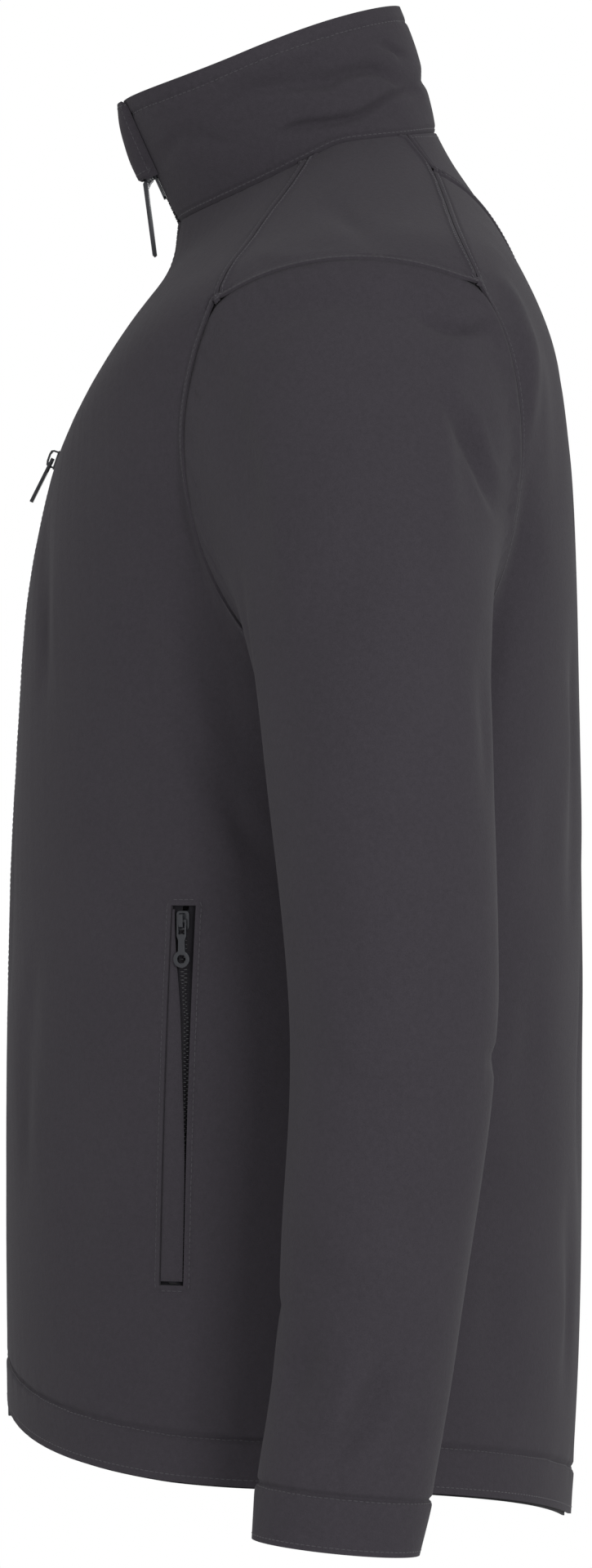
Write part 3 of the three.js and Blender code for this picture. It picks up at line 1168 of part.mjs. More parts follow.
// Hem facing: one strip inside the hem, from front edge to front edge.
const facingAngles = [
  ...range(frontColumns).map((j) => frontAngle(j + 1, HEM_LEVEL)),
  ...range(backColumns).map((j) => backAngle(backColumns - 1 - j)),
];
const facingSigned = [...facingAngles, ...facingAngles.slice(0, -1).reverse().map((a) => -a)];
const facingRow = (rise, depth) =>
  facingSigned.map((angle) => {
    const edge = bodyPoint(angle, HEM_LEVEL);
    const inward = bodyNormal(angle, HEM_LEVEL).setZ(0).normalize();
    const level = levelAtZ(Math.abs(angle), edge.z + Math.max(rise, 0));
    const base = rise > 0 ? bodyPoint(angle, level) : edge.clone().setZ(edge.z + rise);
    return base.addScaledVector(inward, -depth);
  });
const facingFrom = HEM_WALL + HEM_FACING.gap;
const facingRises = [HEM_FACING.height, -HEM_FACING.drop];
const facingOuter = facingRises.map((rise) => facingRow(rise, facingFrom));
const facingInner = facingRises.map((rise) => facingRow(rise, facingFrom + HEM_FACING.thick));
add("hem_facing", wall(facingOuter, facingInner), TAPE, 0.9);

export default part;
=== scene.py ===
import math

import bmesh
import bpy
import numpy as np
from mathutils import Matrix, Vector
from mathutils.bvhtree import BVHTree


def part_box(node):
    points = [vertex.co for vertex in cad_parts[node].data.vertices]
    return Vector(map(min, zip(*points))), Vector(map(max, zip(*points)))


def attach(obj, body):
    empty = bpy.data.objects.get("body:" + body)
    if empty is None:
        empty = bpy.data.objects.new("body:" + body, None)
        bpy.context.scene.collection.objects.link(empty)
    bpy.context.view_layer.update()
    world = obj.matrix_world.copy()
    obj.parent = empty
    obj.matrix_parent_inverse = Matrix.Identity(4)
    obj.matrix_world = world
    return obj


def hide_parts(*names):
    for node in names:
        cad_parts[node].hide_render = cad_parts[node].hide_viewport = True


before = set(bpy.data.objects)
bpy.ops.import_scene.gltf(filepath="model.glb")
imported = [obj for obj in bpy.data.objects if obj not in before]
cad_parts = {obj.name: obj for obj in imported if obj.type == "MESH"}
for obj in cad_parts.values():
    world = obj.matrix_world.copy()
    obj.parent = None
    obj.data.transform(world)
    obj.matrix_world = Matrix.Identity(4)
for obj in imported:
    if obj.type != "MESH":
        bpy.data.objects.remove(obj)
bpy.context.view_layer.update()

# Front panels: a softshell cloth with a smooth woven face and a fleece back, cut one for
# each side from the neck seam to the hem. The hem is turned up and stitched, and each
# panel has a slot for its hand pocket and a folded front edge beside the zip.


class Wire:
    """An output of a shader's nodes, which Python sums can be made with."""

    def __init__(self, tree, socket=None):
        self.tree = tree
        self.socket = socket

    def make(self, kind, settings=None, inputs=None, out=0):
        node = self.tree.nodes.new(kind)
        for name, value in (settings or {}).items():
            setattr(node, name, value)
        for name, value in (inputs or {}).items():
            if isinstance(value, Wire):
                self.tree.links.new(value.socket, node.inputs[name])
            else:
                node.inputs[name].default_value = value
        return Wire(self.tree, node.outputs[out])

    def sum(self, operation, first, second=0.0):
        return self.make("ShaderNodeMath", {"operation": operation}, {0: first, 1: second})

    def __add__(self, other):
        return self.sum("ADD", self, other)

    def __radd__(self, other):
        return self.sum("ADD", other, self)

    def __sub__(self, other):
        return self.sum("SUBTRACT", self, other)

    def __rsub__(self, other):
        return self.sum("SUBTRACT", other, self)

    def __mul__(self, other):
        return self.sum("MULTIPLY", self, other)

    def __rmul__(self, other):
        return self.sum("MULTIPLY", other, self)


def cloth_material(name, color, mottle, roughness, sheen, grain, bump):
    """A matte cloth: mottle is how far its tone varies, grain its grains a metre."""
    material = bpy.data.materials.new(name)
    material.use_nodes = True
    tree = material.node_tree
    shader = tree.nodes["Principled BSDF"]
    shader.inputs["Sheen Weight"].default_value = sheen
    shader.inputs["Sheen Roughness"].default_value = 0.55
    shader.inputs["Specular IOR Level"].default_value = 0.05
    start = Wire(tree)
    place = start.make("ShaderNodeTexCoord", out="Object")
    fine = start.make("ShaderNodeTexNoise", inputs={"Vector": place, "Scale": grain, "Detail": 2.0})
    wide = start.make("ShaderNodeTexNoise", inputs={"Vector": place, "Scale": 14.0, "Detail": 3.0})
    yarn = start.make("ShaderNodeTexNoise", inputs={"Vector": place, "Scale": grain / 4, "Detail": 1.0})
    tone = 1.0 + mottle * (fine - 0.5) + 0.5 * mottle * (yarn - 0.5) + 0.35 * mottle * (wide - 0.5)
    whole = start.make("ShaderNodeVectorMath", {"operation": "SCALE"}, {0: color, "Scale": tone})
    tree.links.new(whole.socket, shader.inputs["Base Color"])
    rough = roughness + 0.08 * (fine - 0.5)
    tree.links.new(rough.socket, shader.inputs["Roughness"])
    height = fine + 0.6 * yarn
    relief = start.make(
        "ShaderNodeBump", inputs={"Strength": bump, "Distance": 0.00035, "Height": height}, out="Normal"
    )
    tree.links.new(relief.socket, shader.inputs["Normal"])
    return material


softshell = cloth_material(
    "softshell_face",
    (0.0296, 0.0266, 0.0318),
    mottle=0.42,
    roughness=0.88,
    sheen=0.03,
    grain=1500.0,
    bump=0.6,
)
fleece = cloth_material(
    "fleece_back",
    (0.020, 0.018, 0.021),
    mottle=0.5,
    roughness=0.95,
    sheen=0.3,
    grain=700.0,
    bump=1.0,
)
thread = cloth_material(
    "sewing_thread",
    (0.047, 0.045, 0.051),
    mottle=0.3,
    roughness=0.62,
    sheen=0.1,
    grain=2500.0,
    bump=0.3,
)


# Faces that fold by less than the first angle are one layer of a cloth. A point where the
# open edges on both sides of it form less than the second angle stays a sharp corner.
LAYER_ANGLE = math.radians(60)
CORNER_ANGLE = math.radians(125)


def outer_sheet(node, rounds):
    """The outside layer of a cloth node as a smooth sheet of quads."""
    obj = bpy.data.objects.new(node + "_cloth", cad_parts[node].data.copy())
    bpy.context.scene.collection.objects.link(obj)
    obj.data.materials.clear()
    mesh = bmesh.new()
    mesh.from_mesh(obj.data)
    bmesh.ops.remove_doubles(mesh, verts=mesh.verts, dist=1e-6)
    mesh.normal_update()
    layers = []
    seen = set()
    for face in mesh.faces:
        if face in seen:
            continue
        seen.add(face)
        layer = [face]
        for near in layer:
            for edge in near.edges:
                if len(edge.link_faces) == 2 and edge.calc_face_angle() < LAYER_ANGLE:
                    for other in edge.link_faces:
                        if other not in seen:
                            seen.add(other)
                            layer.append(other)
        layers.append(layer)
    layers.sort(key=lambda faces: -sum(face.calc_area() for face in faces))
    inside = {corner for face in layers[1] for corner in face.verts}
    keep = {face for face in layers[0] if not any(corner in inside for corner in face.verts)}
    bmesh.ops.delete(mesh, geom=[face for face in mesh.faces if face not in keep], context="FACES")
    bmesh.ops.join_triangles(
        mesh, faces=mesh.faces[:], angle_face_threshold=math.pi, angle_shape_threshold=math.pi
    )
    sharp = mesh.verts.layers.float.new("crease_vert")
    for corner in mesh.verts:
        open_edges = [edge for edge in corner.link_edges if len(edge.link_faces) == 1]
        if len(open_edges) == 2:
            ways = [edge.other_vert(corner).co - corner.co for edge in open_edges]
            if ways[0].angle(ways[1]) < CORNER_ANGLE:
                corner[sharp] = 1.0
    mesh.to_mesh(obj.data)
    mesh.free()
    apply_modifier(obj, "SUBSURF", levels=rounds, boundary_smooth="PRESERVE_CORNERS")
    return obj


def apply_modifier(obj, kind, **settings):
    """Adds one modifier to the object and applies it."""
    bpy.ops.object.select_all(action="DESELECT")
    bpy.context.view_layer.objects.active = obj
    obj.select_set(True)
    modifier = obj.modifiers.new(kind, kind)
    for name, value in settings.items():
        setattr(modifier, name, value)
    bpy.ops.object.modifier_apply(modifier=modifier.name)


def points_of(obj):
    """The places of an object's points, a row each."""
    found = np.empty(3 * len(obj.data.vertices))
    obj.data.vertices.foreach_get("co", found)
    return found.reshape(-1, 3)


def normals_of(obj):
    """The normals at an object's points, a row each."""
    found = np.empty(3 * len(obj.data.vertices))
    obj.data.vertex_normals.foreach_get("vector", found)
    return found.reshape(-1, 3)


# Creases come up to their whole depth over this distance in from a held edge.
HELD_REACH = 0.009


def move_out(obj, lift, held=None):
    """Moves each point of the sheet out along its normal by its lift, less at a held edge."""
    if held is not None:
        lift = lift * (edge_distance(obj, held, HELD_REACH) / HELD_REACH) ** 0.8
    places = points_of(obj) + normals_of(obj) * lift[:, None]
    obj.data.vertices.foreach_set("co", places.ravel())
    obj.data.update()


def smooth_line(points, steps=9):
    """Points along a smooth curve through the given ones."""
    path = np.array(points, float)
    ends = [2 * path[0] - path[1], 2 * path[-1] - path[-2]]
    path = np.vstack([ends[0], path, ends[1]])
    line = []
    for i in range(1, len(path) - 2):
        a, b, c, d = path[i - 1 : i + 3]
        slope = c - a
        bend = 2 * a - 5 * b + 4 * c - d
        twist = 3 * b - a - 3 * c + d
        for k in np.arange(0, 1, 1 / steps):
            line.append(0.5 * (2 * b + slope * k + bend * k**2 + twist * k**3))
    return np.array(line + [path[-2]])


# For each view, the columns of a place that lie across and up in it, and the column and
# sign of a normal that faces it.
VIEWS = {
    "left": (1, 2, 0, 1),
    "right": (1, 2, 0, -1),
    "front": (0, 2, 1, -1),
    "back": (0, 2, 1, 1),
}

# Every crease's depth is multiplied by this.
CREASE_STRENGTH = 2.0


def crease_lift(obj, creases):
    """How far the creases move each point: troughs down and ridges up, soft at the ends."""
    places = points_of(obj) * 1000
    facing = normals_of(obj)
    lift = np.zeros(len(places))
    for crease in creases:
        across, up, axis, sign = VIEWS[crease["view"]]
        flat = places[:, [across, up]]
        line = smooth_line(crease["line"])
        best = np.full(len(places), np.inf)
        share = np.zeros(len(places))
        side = np.zeros(len(places))
        for k in range(len(line) - 1):
            span = line[k + 1] - line[k]
            away = flat - line[k]
            along = np.clip(away @ span / (span @ span), 0, 1)
            rest = away - along[:, None] * span
            far = np.hypot(rest[:, 0], rest[:, 1])
            closer = far < best
            best[closer] = far[closer]
            share[closer] = (k + along[closer]) / (len(line) - 1)
            side[closer] = np.sign(span[0] * away[closer, 1] - span[1] * away[closer, 0])
        # The width swells and shrinks along the crease, and a lean widens one side of it.
        swell = 1 + 0.25 * np.sin(7 * share + 11 * crease["width"])
        width = crease["width"] * swell * np.where(side > 0, crease.get("lean", 1.0), 1.0)
        # It fades out at both ends, and where the cloth turns away from the view.
        ends = np.sin(np.pi * np.clip(0.04 + 0.92 * share, 0, 1)) ** 0.7
        seen = np.clip((facing[:, axis] * sign - 0.02) / 0.3, 0, 1)
        lift += CREASE_STRENGTH * crease["depth"] / 1000 * ends * np.exp(-((best / width) ** 2)) * seen
    return lift


def edge_walks(obj):
    """The sheet's open edges as ordered lists of vertex numbers."""
    mesh = bmesh.new()
    mesh.from_mesh(obj.data)
    mesh.verts.ensure_lookup_table()
    after = {}
    for edge in mesh.edges:
        if len(edge.link_loops) == 1:
            loop = edge.link_loops[0]
            after[loop.vert.index] = loop.link_loop_next.vert.index
    mesh.free()
    walks = []
    while after:
        start = next(iter(after))
        walk = [start]
        while walk[-1] in after:
            walk.append(after.pop(walk[-1]))
        walks.append(walk)
    return walks


def node_tree_of(node):
    """A node's surface, to find the nearest place on it or where a line meets it."""
    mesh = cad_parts[node].data
    corners = [v.co for v in mesh.vertices]
    return BVHTree.FromPolygons(corners, [p.vertices for p in mesh.polygons])


def seam_runs(obj, where):
    """Stretches of the sheet's edge that the test allows, as lists of vertex numbers."""
    places = points_of(obj)
    runs = []
    for walk in edge_walks(obj):
        fits = [where(Vector(places[k])) for k in walk]
        run = []
        for k, fit in zip(walk, fits):
            if fit:
                run.append(k)
            elif run:
                runs.append(run)
                run = []
        if run:
            if runs and fits[0] and walk[0] == walk[-1] and runs[0][0] == walk[0]:
                runs[0] = run + runs[0][1:]
            else:
                runs.append(run)
    return [run for run in runs if len(run) > 5]


def beside(node, reach=0.003):
    """A test for places within reach of a node."""
    tree = node_tree_of(node)
    return lambda place: tree.find_nearest(place, reach)[0] is not None


def edge_distance(obj, runs, limit=0.04):
    """How far each point of the sheet is from the runs of its edge, up to a limit."""
    places = points_of(obj)
    marks = np.vstack([places[run] for run in runs])
    far = np.full(len(places), limit)
    low, high = marks.min(axis=0) - limit, marks.max(axis=0) + limit
    close = np.where(((places > low) & (places < high)).all(axis=1))[0]
    at_once = 4000
    for start in range(0, len(close), at_once):
        chosen = close[start : start + at_once]
        gaps = np.linalg.norm(places[chosen][:, None] - marks[None], axis=2).min(axis=1)
        far[chosen] = np.minimum(far[chosen], gaps)
    return far


def lengths_along(places):
    """How far along a line of points each one lies."""
    steps = np.linalg.norm(np.diff(places, axis=0), axis=1)
    return np.concatenate([[0], np.cumsum(steps)])


# An allowance narrows to a sliver over this length at each end of an open seam, and it
# bulges out by this much where it turns in.
ALLOWANCE_TAPER = 0.014
ALLOWANCE_BULGE = 0.0003


def allowance(obj, runs, down=0.0018, beyond=0.004):
    """Turns the cloth in at a seam and on under its neighbour, as a seam's edge lies."""
    places = points_of(obj)
    normals = normals_of(obj)
    mesh = bmesh.new()
    mesh.from_mesh(obj.data)
    corners = list(mesh.verts)
    for run in runs:
        tangents = np.gradient(places[run], axis=0)
        out = -np.cross(normals[run], tangents)
        out /= np.linalg.norm(out, axis=1)[:, None] + 1e-12
        along = lengths_along(places[run])
        reach = np.full(len(run), beyond)
        if run[0] != run[-1]:
            to_end = np.minimum(along, along[-1] - along)
            reach *= np.clip(to_end / ALLOWANCE_TAPER, 0.08, 1)
        turned = places[run] - normals[run] * down + out * ALLOWANCE_BULGE
        under = places[run] - normals[run] * down * 1.15 + out * reach[:, None]
        low = [mesh.verts.new(place) for place in turned]
        far = [mesh.verts.new(place) for place in under]
        for k in range(len(run) - 1):
            near = [corners[run[k]], corners[run[k + 1]]]
            if near[0] != near[1]:
                mesh.faces.new([near[1], near[0], low[k], low[k + 1]])
                mesh.faces.new([low[k + 1], low[k], far[k], far[k + 1]])
    mesh.verts.index_update()
    bmesh.ops.remove_doubles(mesh, verts=mesh.verts[:], dist=1e-7)
    mesh.to_mesh(obj.data)
    mesh.free()


def refine(obj, runs, low, high, cuts=2):
    """Divides the cloth more finely between two distances in from runs of its edge."""
    far = edge_distance(obj, runs, high + 0.01)
    mesh = bmesh.new()
    mesh.from_mesh(obj.data)
    within = (far >= low) & (far <= high)
    chosen = [edge for edge in mesh.edges if all(within[corner.index] for corner in edge.verts)]
    bmesh.ops.subdivide_edges(mesh, edges=chosen, cuts=cuts, use_grid_fill=True)
    mesh.to_mesh(obj.data)
    mesh.free()


def groove(far, offset, width, depth):
    """A soft furrow at one distance in from the edge."""
    return -depth * np.exp(-(((far - offset) / width) ** 2))


def band(far, reach, rise, soften=0.0007):
    """A raised stretch from the edge to one distance in, with a soft step down after it."""
    return rise / (1 + np.exp(np.clip((far - reach) / (0.5 * soften), -40, 40)))


def felled(far):
    """A seam turned over flat: a raised band with a stitched furrow along its far edge."""
    raised = band(far, 0.0031, rise=0.0010) + groove(far, 0.0040, width=0.0011, depth=0.0008)
    return raised + groove(far, 0.0, width=0.0008, depth=0.0008)


def faded(far):
    """How much of a band is left near the seam that it runs into."""
    return np.clip(far / 0.007, 0.1, 1)


def armhole_seam(armhole, crossing):
    """The armhole's raised band and furrow, and the felled seam that fades out into it."""
    raised = np.maximum(felled(crossing) * faded(armhole), band(armhole, 0.0028, rise=0.0012))
    return raised + groove(armhole, 0.0042, width=0.0013, depth=0.0006)


def offset_path(obj, run, offset, tree):
    """Points and normals on the sheet, at one distance in from a run of its edge."""
    places = points_of(obj)[run]
    normals = normals_of(obj)[run]
    tangents = np.gradient(places, axis=0)
    if run[0] == run[-1]:
        tangents[0] = tangents[-1] = places[1] - places[-2]
    inward = np.cross(normals, tangents)
    inward /= np.linalg.norm(inward, axis=1)[:, None] + 1e-12
    found = []
    for place, way in zip(places, inward):
        hit, normal, _, _ = tree.find_nearest(Vector(place + way * offset))
        found.append((hit, normal))
    return found


def spaced(path, pitch):
    """Points, normals and directions at one pitch along a path."""
    places = np.array([hit for hit, _ in path])
    normals = np.array([normal for _, normal in path])
    far = lengths_along(places)
    marks = np.arange(pitch / 2, far[-1], pitch)

    def at(stations, values):
        return np.column_stack([np.interp(stations, far, values[:, k]) for k in range(3)])

    along = at(marks + pitch / 3, places) - at(marks - pitch / 3, places)
    return at(marks, places), at(marks, normals), along


def template(maker, scale, order=(0, 1, 2), **sizes):
    """A primitive's corners, with their axes in a new order and scaled, and its faces."""
    bpy.ops.object.select_all(action="DESELECT")
    maker(**sizes)
    obj = bpy.context.active_object
    corners = np.array([v.co for v in obj.data.vertices])[:, list(order)] * np.array(scale)
    faces = [tuple(p.vertices) for p in obj.data.polygons]
    bpy.data.objects.remove(obj)
    return corners, faces


def repeat(name, shape, rows, material, sink=0.0):
    """One object with a copy of the shape at each row: +X along, +Y across, +Z out."""
    corners, faces = shape
    points = []
    polygons = []
    for at, out, along in rows:
        out = out / np.linalg.norm(out, axis=1)[:, None]
        along = along - out * np.sum(along * out, axis=1)[:, None]
        along = along / (np.linalg.norm(along, axis=1)[:, None] + 1e-12)
        across = np.cross(out, along)
        for place, x, y, z in zip(at - out * sink, along, across, out):
            base = len(points)
            points.extend(place + corners @ np.array([x, y, z]))
            polygons.extend([tuple(base + k for k in face) for face in faces])
    mesh = bpy.data.meshes.new(name)
    mesh.from_pydata(points, [], polygons)
    mesh.update()
    obj = bpy.data.objects.new(name, mesh)
    bpy.context.scene.collection.objects.link(obj)
    mesh.materials.append(material)
    mesh.polygons.foreach_set("use_smooth", [True] * len(mesh.polygons))
    return obj


STITCH_PITCH = 0.0029
STITCH_SINK = 0.00004
stitch_shape = template(
    bpy.ops.mesh.primitive_uv_sphere_add,
    (0.00118, 0.00027, 0.00025),
    (2, 0, 1),
    segments=5,
    ring_count=4,
    radius=1.0,
)


def sew(obj, name, rows):
    """Stitches on the sheet: rows of a test for its edge and a distance in from it."""
    mesh = obj.data
    tree = BVHTree.FromPolygons([v.co for v in mesh.vertices], [p.vertices for p in mesh.polygons])
    lines = []
    for where, offset in rows:
        for run in seam_runs(obj, where):
            lines.append(spaced(offset_path(obj, run, offset, tree), STITCH_PITCH))
    stitches = repeat(name, stitch_shape, lines, thread, STITCH_SINK)
    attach(stitches, "jacket")


def thicken(obj, thickness, back=None, most=None):
    """Gives the sheet its thickness inwards, after thinning it to the most triangles a side."""
    faces = sum(len(polygon.vertices) - 2 for polygon in obj.data.polygons)
    if most and faces > most:
        apply_modifier(obj, "DECIMATE", ratio=most / faces)
    obj.data.materials.append(softshell)
    obj.data.materials.append(back or fleece)
    materials = {"material_offset": 1, "material_offset_rim": 0}
    apply_modifier(obj, "SOLIDIFY", thickness=thickness, offset=-1.0, **materials)
    bpy.ops.object.select_all(action="DESELECT")
    bpy.context.view_layer.objects.active = obj
    obj.select_set(True)
    bpy.ops.object.shade_smooth_by_angle(angle=math.radians(48))
    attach(obj, "jacket")


def ripple(obj, far, offset, reach, height, pitch, rising=0.35):
    """Small puckers that a row of sewing draws into the cloth, fading away from it."""
    run = points_of(obj) @ np.array([1.0, 1.3, rising])
    wave = np.sin(2 * np.pi * run / pitch) + 0.6 * np.sin(2 * np.pi * run / (pitch * 0.63) + 1.7)
    wave += 0.5 * np.sin(2 * np.pi * run / (pitch * 1.9) + 0.4)
    return height * wave * np.exp(-(((far - offset) / reach) ** 2))


def turned_edge(obj, far, turn, depth, rise, pucker, pitch):
    """The furrow at a hem's row of stitches, the fuller turn below it and its puckers."""
    relief = groove(far, turn, width=0.0015, depth=depth) + band(far, turn, rise, soften=0.0014)
    return relief + ripple(obj, far, turn, reach=pucker, height=0.00014, pitch=pitch)


# A crease is drawn in a view: its line and width are in millimetres, and its depth
# is below 0 for a trough and above 0 for a ridge.
FRONT_CREASES = [
    {
        "view": "left",
        "line": [(-68, -155), (-70, -200), (-66, -250), (-54, -300), (-38, -345)],
        "width": 20,
        "depth": -4.1,
        "lean": 1.3,
    },
    {
        "view": "left",
        "line": [(-96, -236), (-92, -262), (-78, -292), (-66, -318)],
        "width": 9,
        "depth": -1.6,
    },
    {"view": "left", "line": [(-118, -300), (-108, -350), (-104, -392)], "width": 12, "depth": -1.1},
    {"view": "left", "line": [(-60, -318), (-44, -352), (-22, -372)], "width": 7, "depth": -1.3},
    {"view": "left", "line": [(-132, -470), (-126, -520), (-129, -572)], "width": 13, "depth": -1.1},
    {"view": "left", "line": [(-40, -600), (-58, -622), (-66, -650)], "width": 9, "depth": -0.9},
    {"view": "front", "line": [(60, -190), (88, -236), (104, -290)], "width": 12, "depth": -1.6},
    {"view": "front", "line": [(30, -330), (44, -392), (40, -450)], "width": 14, "depth": -1.2},
    {"view": "front", "line": [(118, -420), (104, -470), (108, -530)], "width": 13, "depth": -1.4},
    {"view": "front", "line": [(-66, -196), (-92, -232), (-112, -296)], "width": 13, "depth": -1.7},
    {"view": "front", "line": [(-34, -372), (-48, -430), (-42, -486)], "width": 13, "depth": -1.3},
    {"view": "front", "line": [(-122, -440), (-110, -500), (-116, -548)], "width": 12, "depth": -1.3},
    {"view": "right", "line": [(-100, -242), (-90, -276), (-70, -310)], "width": 9, "depth": -1.7},
    {"view": "right", "line": [(-62, -322), (-42, -350), (-24, -376)], "width": 8, "depth": -1.2},
]
# All other sizes are in metres, and a row's is how far its stitches lie in from the edge.
CLOTH_THICKNESS = 0.0016
HEM_TURN = 0.024
HEM_EDGE_ROW = 0.0034
FELL_ROW = 0.0030
SEAM_ROW = 0.0018
FRONT_EDGE_ROW = 0.0019
ZIP_ROW = 0.0062
POCKET_ROW = 0.0031
SLOT_ACROSS = (0.186, 0.199)
SLOT_DEEP = (-0.090, -0.055)
SLOT_UP = (-0.585, -0.385)
FRONT_EDGE_SIDE = 0.0068
ZIP_BOTTOM = -0.648
FINE_SEAM = 0.008
low_edge = beside("hem_facing", 0.0052)


def pocket_edge(place):
    bounds = ((abs(place.x), SLOT_ACROSS), (place.y, SLOT_DEEP), (place.z, SLOT_UP))
    return all(least < value < most for value, (least, most) in bounds)


def front_edge(place):
    return abs(place.x) < FRONT_EDGE_SIDE and place.z > ZIP_BOTTOM


for word in ("left", "right"):
    panel = outer_sheet("front_" + word, 3)
    at_sleeve = beside("sleeve_" + word)
    at_shoulder = beside("shoulder_" + word)
    seams = seam_runs(panel, at_sleeve) + seam_runs(panel, at_shoulder)
    seams += seam_runs(panel, beside("back")) + seam_runs(panel, beside("collar", 0.002))
    move_out(panel, crease_lift(panel, FRONT_CREASES), seams)
    refine(panel, seam_runs(panel, low_edge), HEM_TURN - 0.010, HEM_TURN + 0.010)
    refine(panel, seam_runs(panel, pocket_edge), 0.0, 0.010)
    refine(panel, seam_runs(panel, at_shoulder), 0.0, FINE_SEAM, 3)
    refine(panel, seam_runs(panel, front_edge), 0.0, 0.012)
    hem = edge_distance(panel, seam_runs(panel, low_edge))
    slot_edge = edge_distance(panel, seam_runs(panel, pocket_edge), 0.02)
    shoulder_seam = edge_distance(panel, seam_runs(panel, at_shoulder), 0.01)
    armhole = edge_distance(panel, seam_runs(panel, at_sleeve), 0.012)
    zip_side = edge_distance(panel, seam_runs(panel, front_edge), 0.02)
    relief = turned_edge(panel, hem, HEM_TURN, depth=0.0019, rise=0.0005, pucker=0.009, pitch=0.023)
    relief += band(slot_edge, POCKET_ROW, rise=0.0009, soften=0.0012)
    relief += groove(slot_edge, 0.0033, width=0.0012, depth=0.0006)
    relief += armhole_seam(armhole, shoulder_seam)
    relief += ripple(panel, armhole, 0.007, reach=0.004, height=0.00022, pitch=0.015)
    relief += groove(zip_side, ZIP_ROW, width=0.0014, depth=0.0014)
    move_out(panel, relief)
    rows = [
        (low_edge, HEM_TURN),
        (low_edge, HEM_EDGE_ROW),
        (at_shoulder, FELL_ROW),
        (at_sleeve, SEAM_ROW),
        (front_edge, FRONT_EDGE_ROW),
        (front_edge, ZIP_ROW),
        (pocket_edge, POCKET_ROW),
    ]
    sew(panel, f"front_{word}_stitches", rows)
    thicken(panel, CLOTH_THICKNESS, most=52000)
    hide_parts("front_" + word)

# Back panel: one piece of the same softshell across the back, with no centre seam. Its
# shaped hem hangs lower than the front's and is turned up and stitched the same way.
BACK_CREASES = [
    {
        "view": "left",
        "line": [(84, -72), (94, -86), (101, -104), (103, -125), (101, -150)],
        "width": 6,
        "depth": 2.2,
    },
    {
        "view": "left",
        "line": [(98, -176), (92, -214), (84, -252), (78, -300)],
        "width": 13,
        "depth": -2.6,
        "lean": 0.6,
    },
    {
        "view": "left",
        "line": [(92, -84), (107, -108), (110, -140), (106, -172)],
        "width": 6,
        "depth": -1.2,
    },
    {"view": "left", "line": [(112, -160), (104, -196), (98, -230)], "width": 8, "depth": -1.2},
    {"view": "left", "line": [(106, -430), (103, -478), (107, -520)], "width": 10, "depth": -1.3},
    {"view": "left", "line": [(118, -300), (112, -352), (114, -400)], "width": 11, "depth": -1.0},
    {"view": "left", "line": [(88, -560), (84, -612), (90, -652)], "width": 10, "depth": -1.1},
    {"view": "back", "line": [(120, -260), (98, -330), (104, -392)], "width": 14, "depth": -1.8},
    {"view": "back", "line": [(40, -380), (52, -460), (46, -540)], "width": 15, "depth": -1.8},
    {"view": "back", "line": [(-24, -440), (-34, -520), (-26, -600)], "width": 14, "depth": -1.6},
    {"view": "back", "line": [(-118, -250), (-100, -318), (-108, -376)], "width": 13, "depth": -1.7},
    {"view": "back", "line": [(-92, -470), (-84, -536), (-90, -590)], "width": 14, "depth": -1.6},
    {"view": "back", "line": [(96, -540), (88, -590), (94, -640)], "width": 12, "depth": -1.4},
    {"view": "back", "line": [(66, -120), (84, -158), (92, -214)], "width": 12, "depth": -1.2},
    {"view": "back", "line": [(-62, -126), (-82, -170), (-86, -226)], "width": 12, "depth": -1.3},
    {"view": "right", "line": [(86, -76), (98, -94), (104, -118), (103, -146)], "width": 5, "depth": 1.4},
    {"view": "right", "line": [(96, -90), (108, -116), (109, -150)], "width": 6, "depth": -1.2},
    {"view": "right", "line": [(104, -440), (101, -486), (106, -534)], "width": 10, "depth": -1.2},
]
back = outer_sheet("back", 3)


def back_runs(*nodes):
    """The stretches of the back's edge that lie along each of these nodes."""
    return sum((seam_runs(back, beside(node)) for node in nodes), [])


sleeves = ("sleeve_left", "sleeve_right")
shoulders = ("shoulder_left", "shoulder_right")
fronts = ("front_left", "front_right")
seams = back_runs(*sleeves, *shoulders, "yoke", *fronts)
move_out(back, crease_lift(back, BACK_CREASES), seams)
refine(back, seam_runs(back, low_edge), HEM_TURN - 0.010, HEM_TURN + 0.010)
refine(back, back_runs(*shoulders, "yoke"), 0.0, FINE_SEAM, 3)
hem = edge_distance(back, seam_runs(back, low_edge))
armholes = edge_distance(back, back_runs(*sleeves), 0.012)
relief = turned_edge(back, hem, HEM_TURN, depth=0.0019, rise=0.0005, pucker=0.009, pitch=0.024)
relief += felled(edge_distance(back, back_runs(*shoulders), 0.01)) * faded(armholes)
relief += felled(edge_distance(back, back_runs("yoke"), 0.01))
move_out(back, relief)
rows = [(low_edge, HEM_TURN), (low_edge, HEM_EDGE_ROW)]
rows += [(beside(node), FELL_ROW) for node in shoulders]
rows += [(beside(node), SEAM_ROW) for node in (*sleeves, "yoke")]
sew(back, "back_stitches", rows)
allowance(back, back_runs(*fronts))
thicken(back, CLOTH_THICKNESS, most=58000)
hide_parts("back")

# Back yoke: a small U-shaped piece of the softshell under the collar, sewn between the
# collar, the shoulder pieces and the back.
YOKE_NECK_ROW = 0.0020
yoke = outer_sheet("yoke", 3)
at_collar = beside("collar")


def yoke_seam(place):
    return not at_collar(place)


refine(yoke, seam_runs(yoke, yoke_seam), 0.0, FINE_SEAM)
move_out(yoke, felled(edge_distance(yoke, seam_runs(yoke, yoke_seam), 0.012)))
sew(yoke, "yoke_stitches", [(at_collar, YOKE_NECK_ROW)])
allowance(yoke, seam_runs(yoke, yoke_seam))
thicken(yoke, CLOTH_THICKNESS)
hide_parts("yoke")

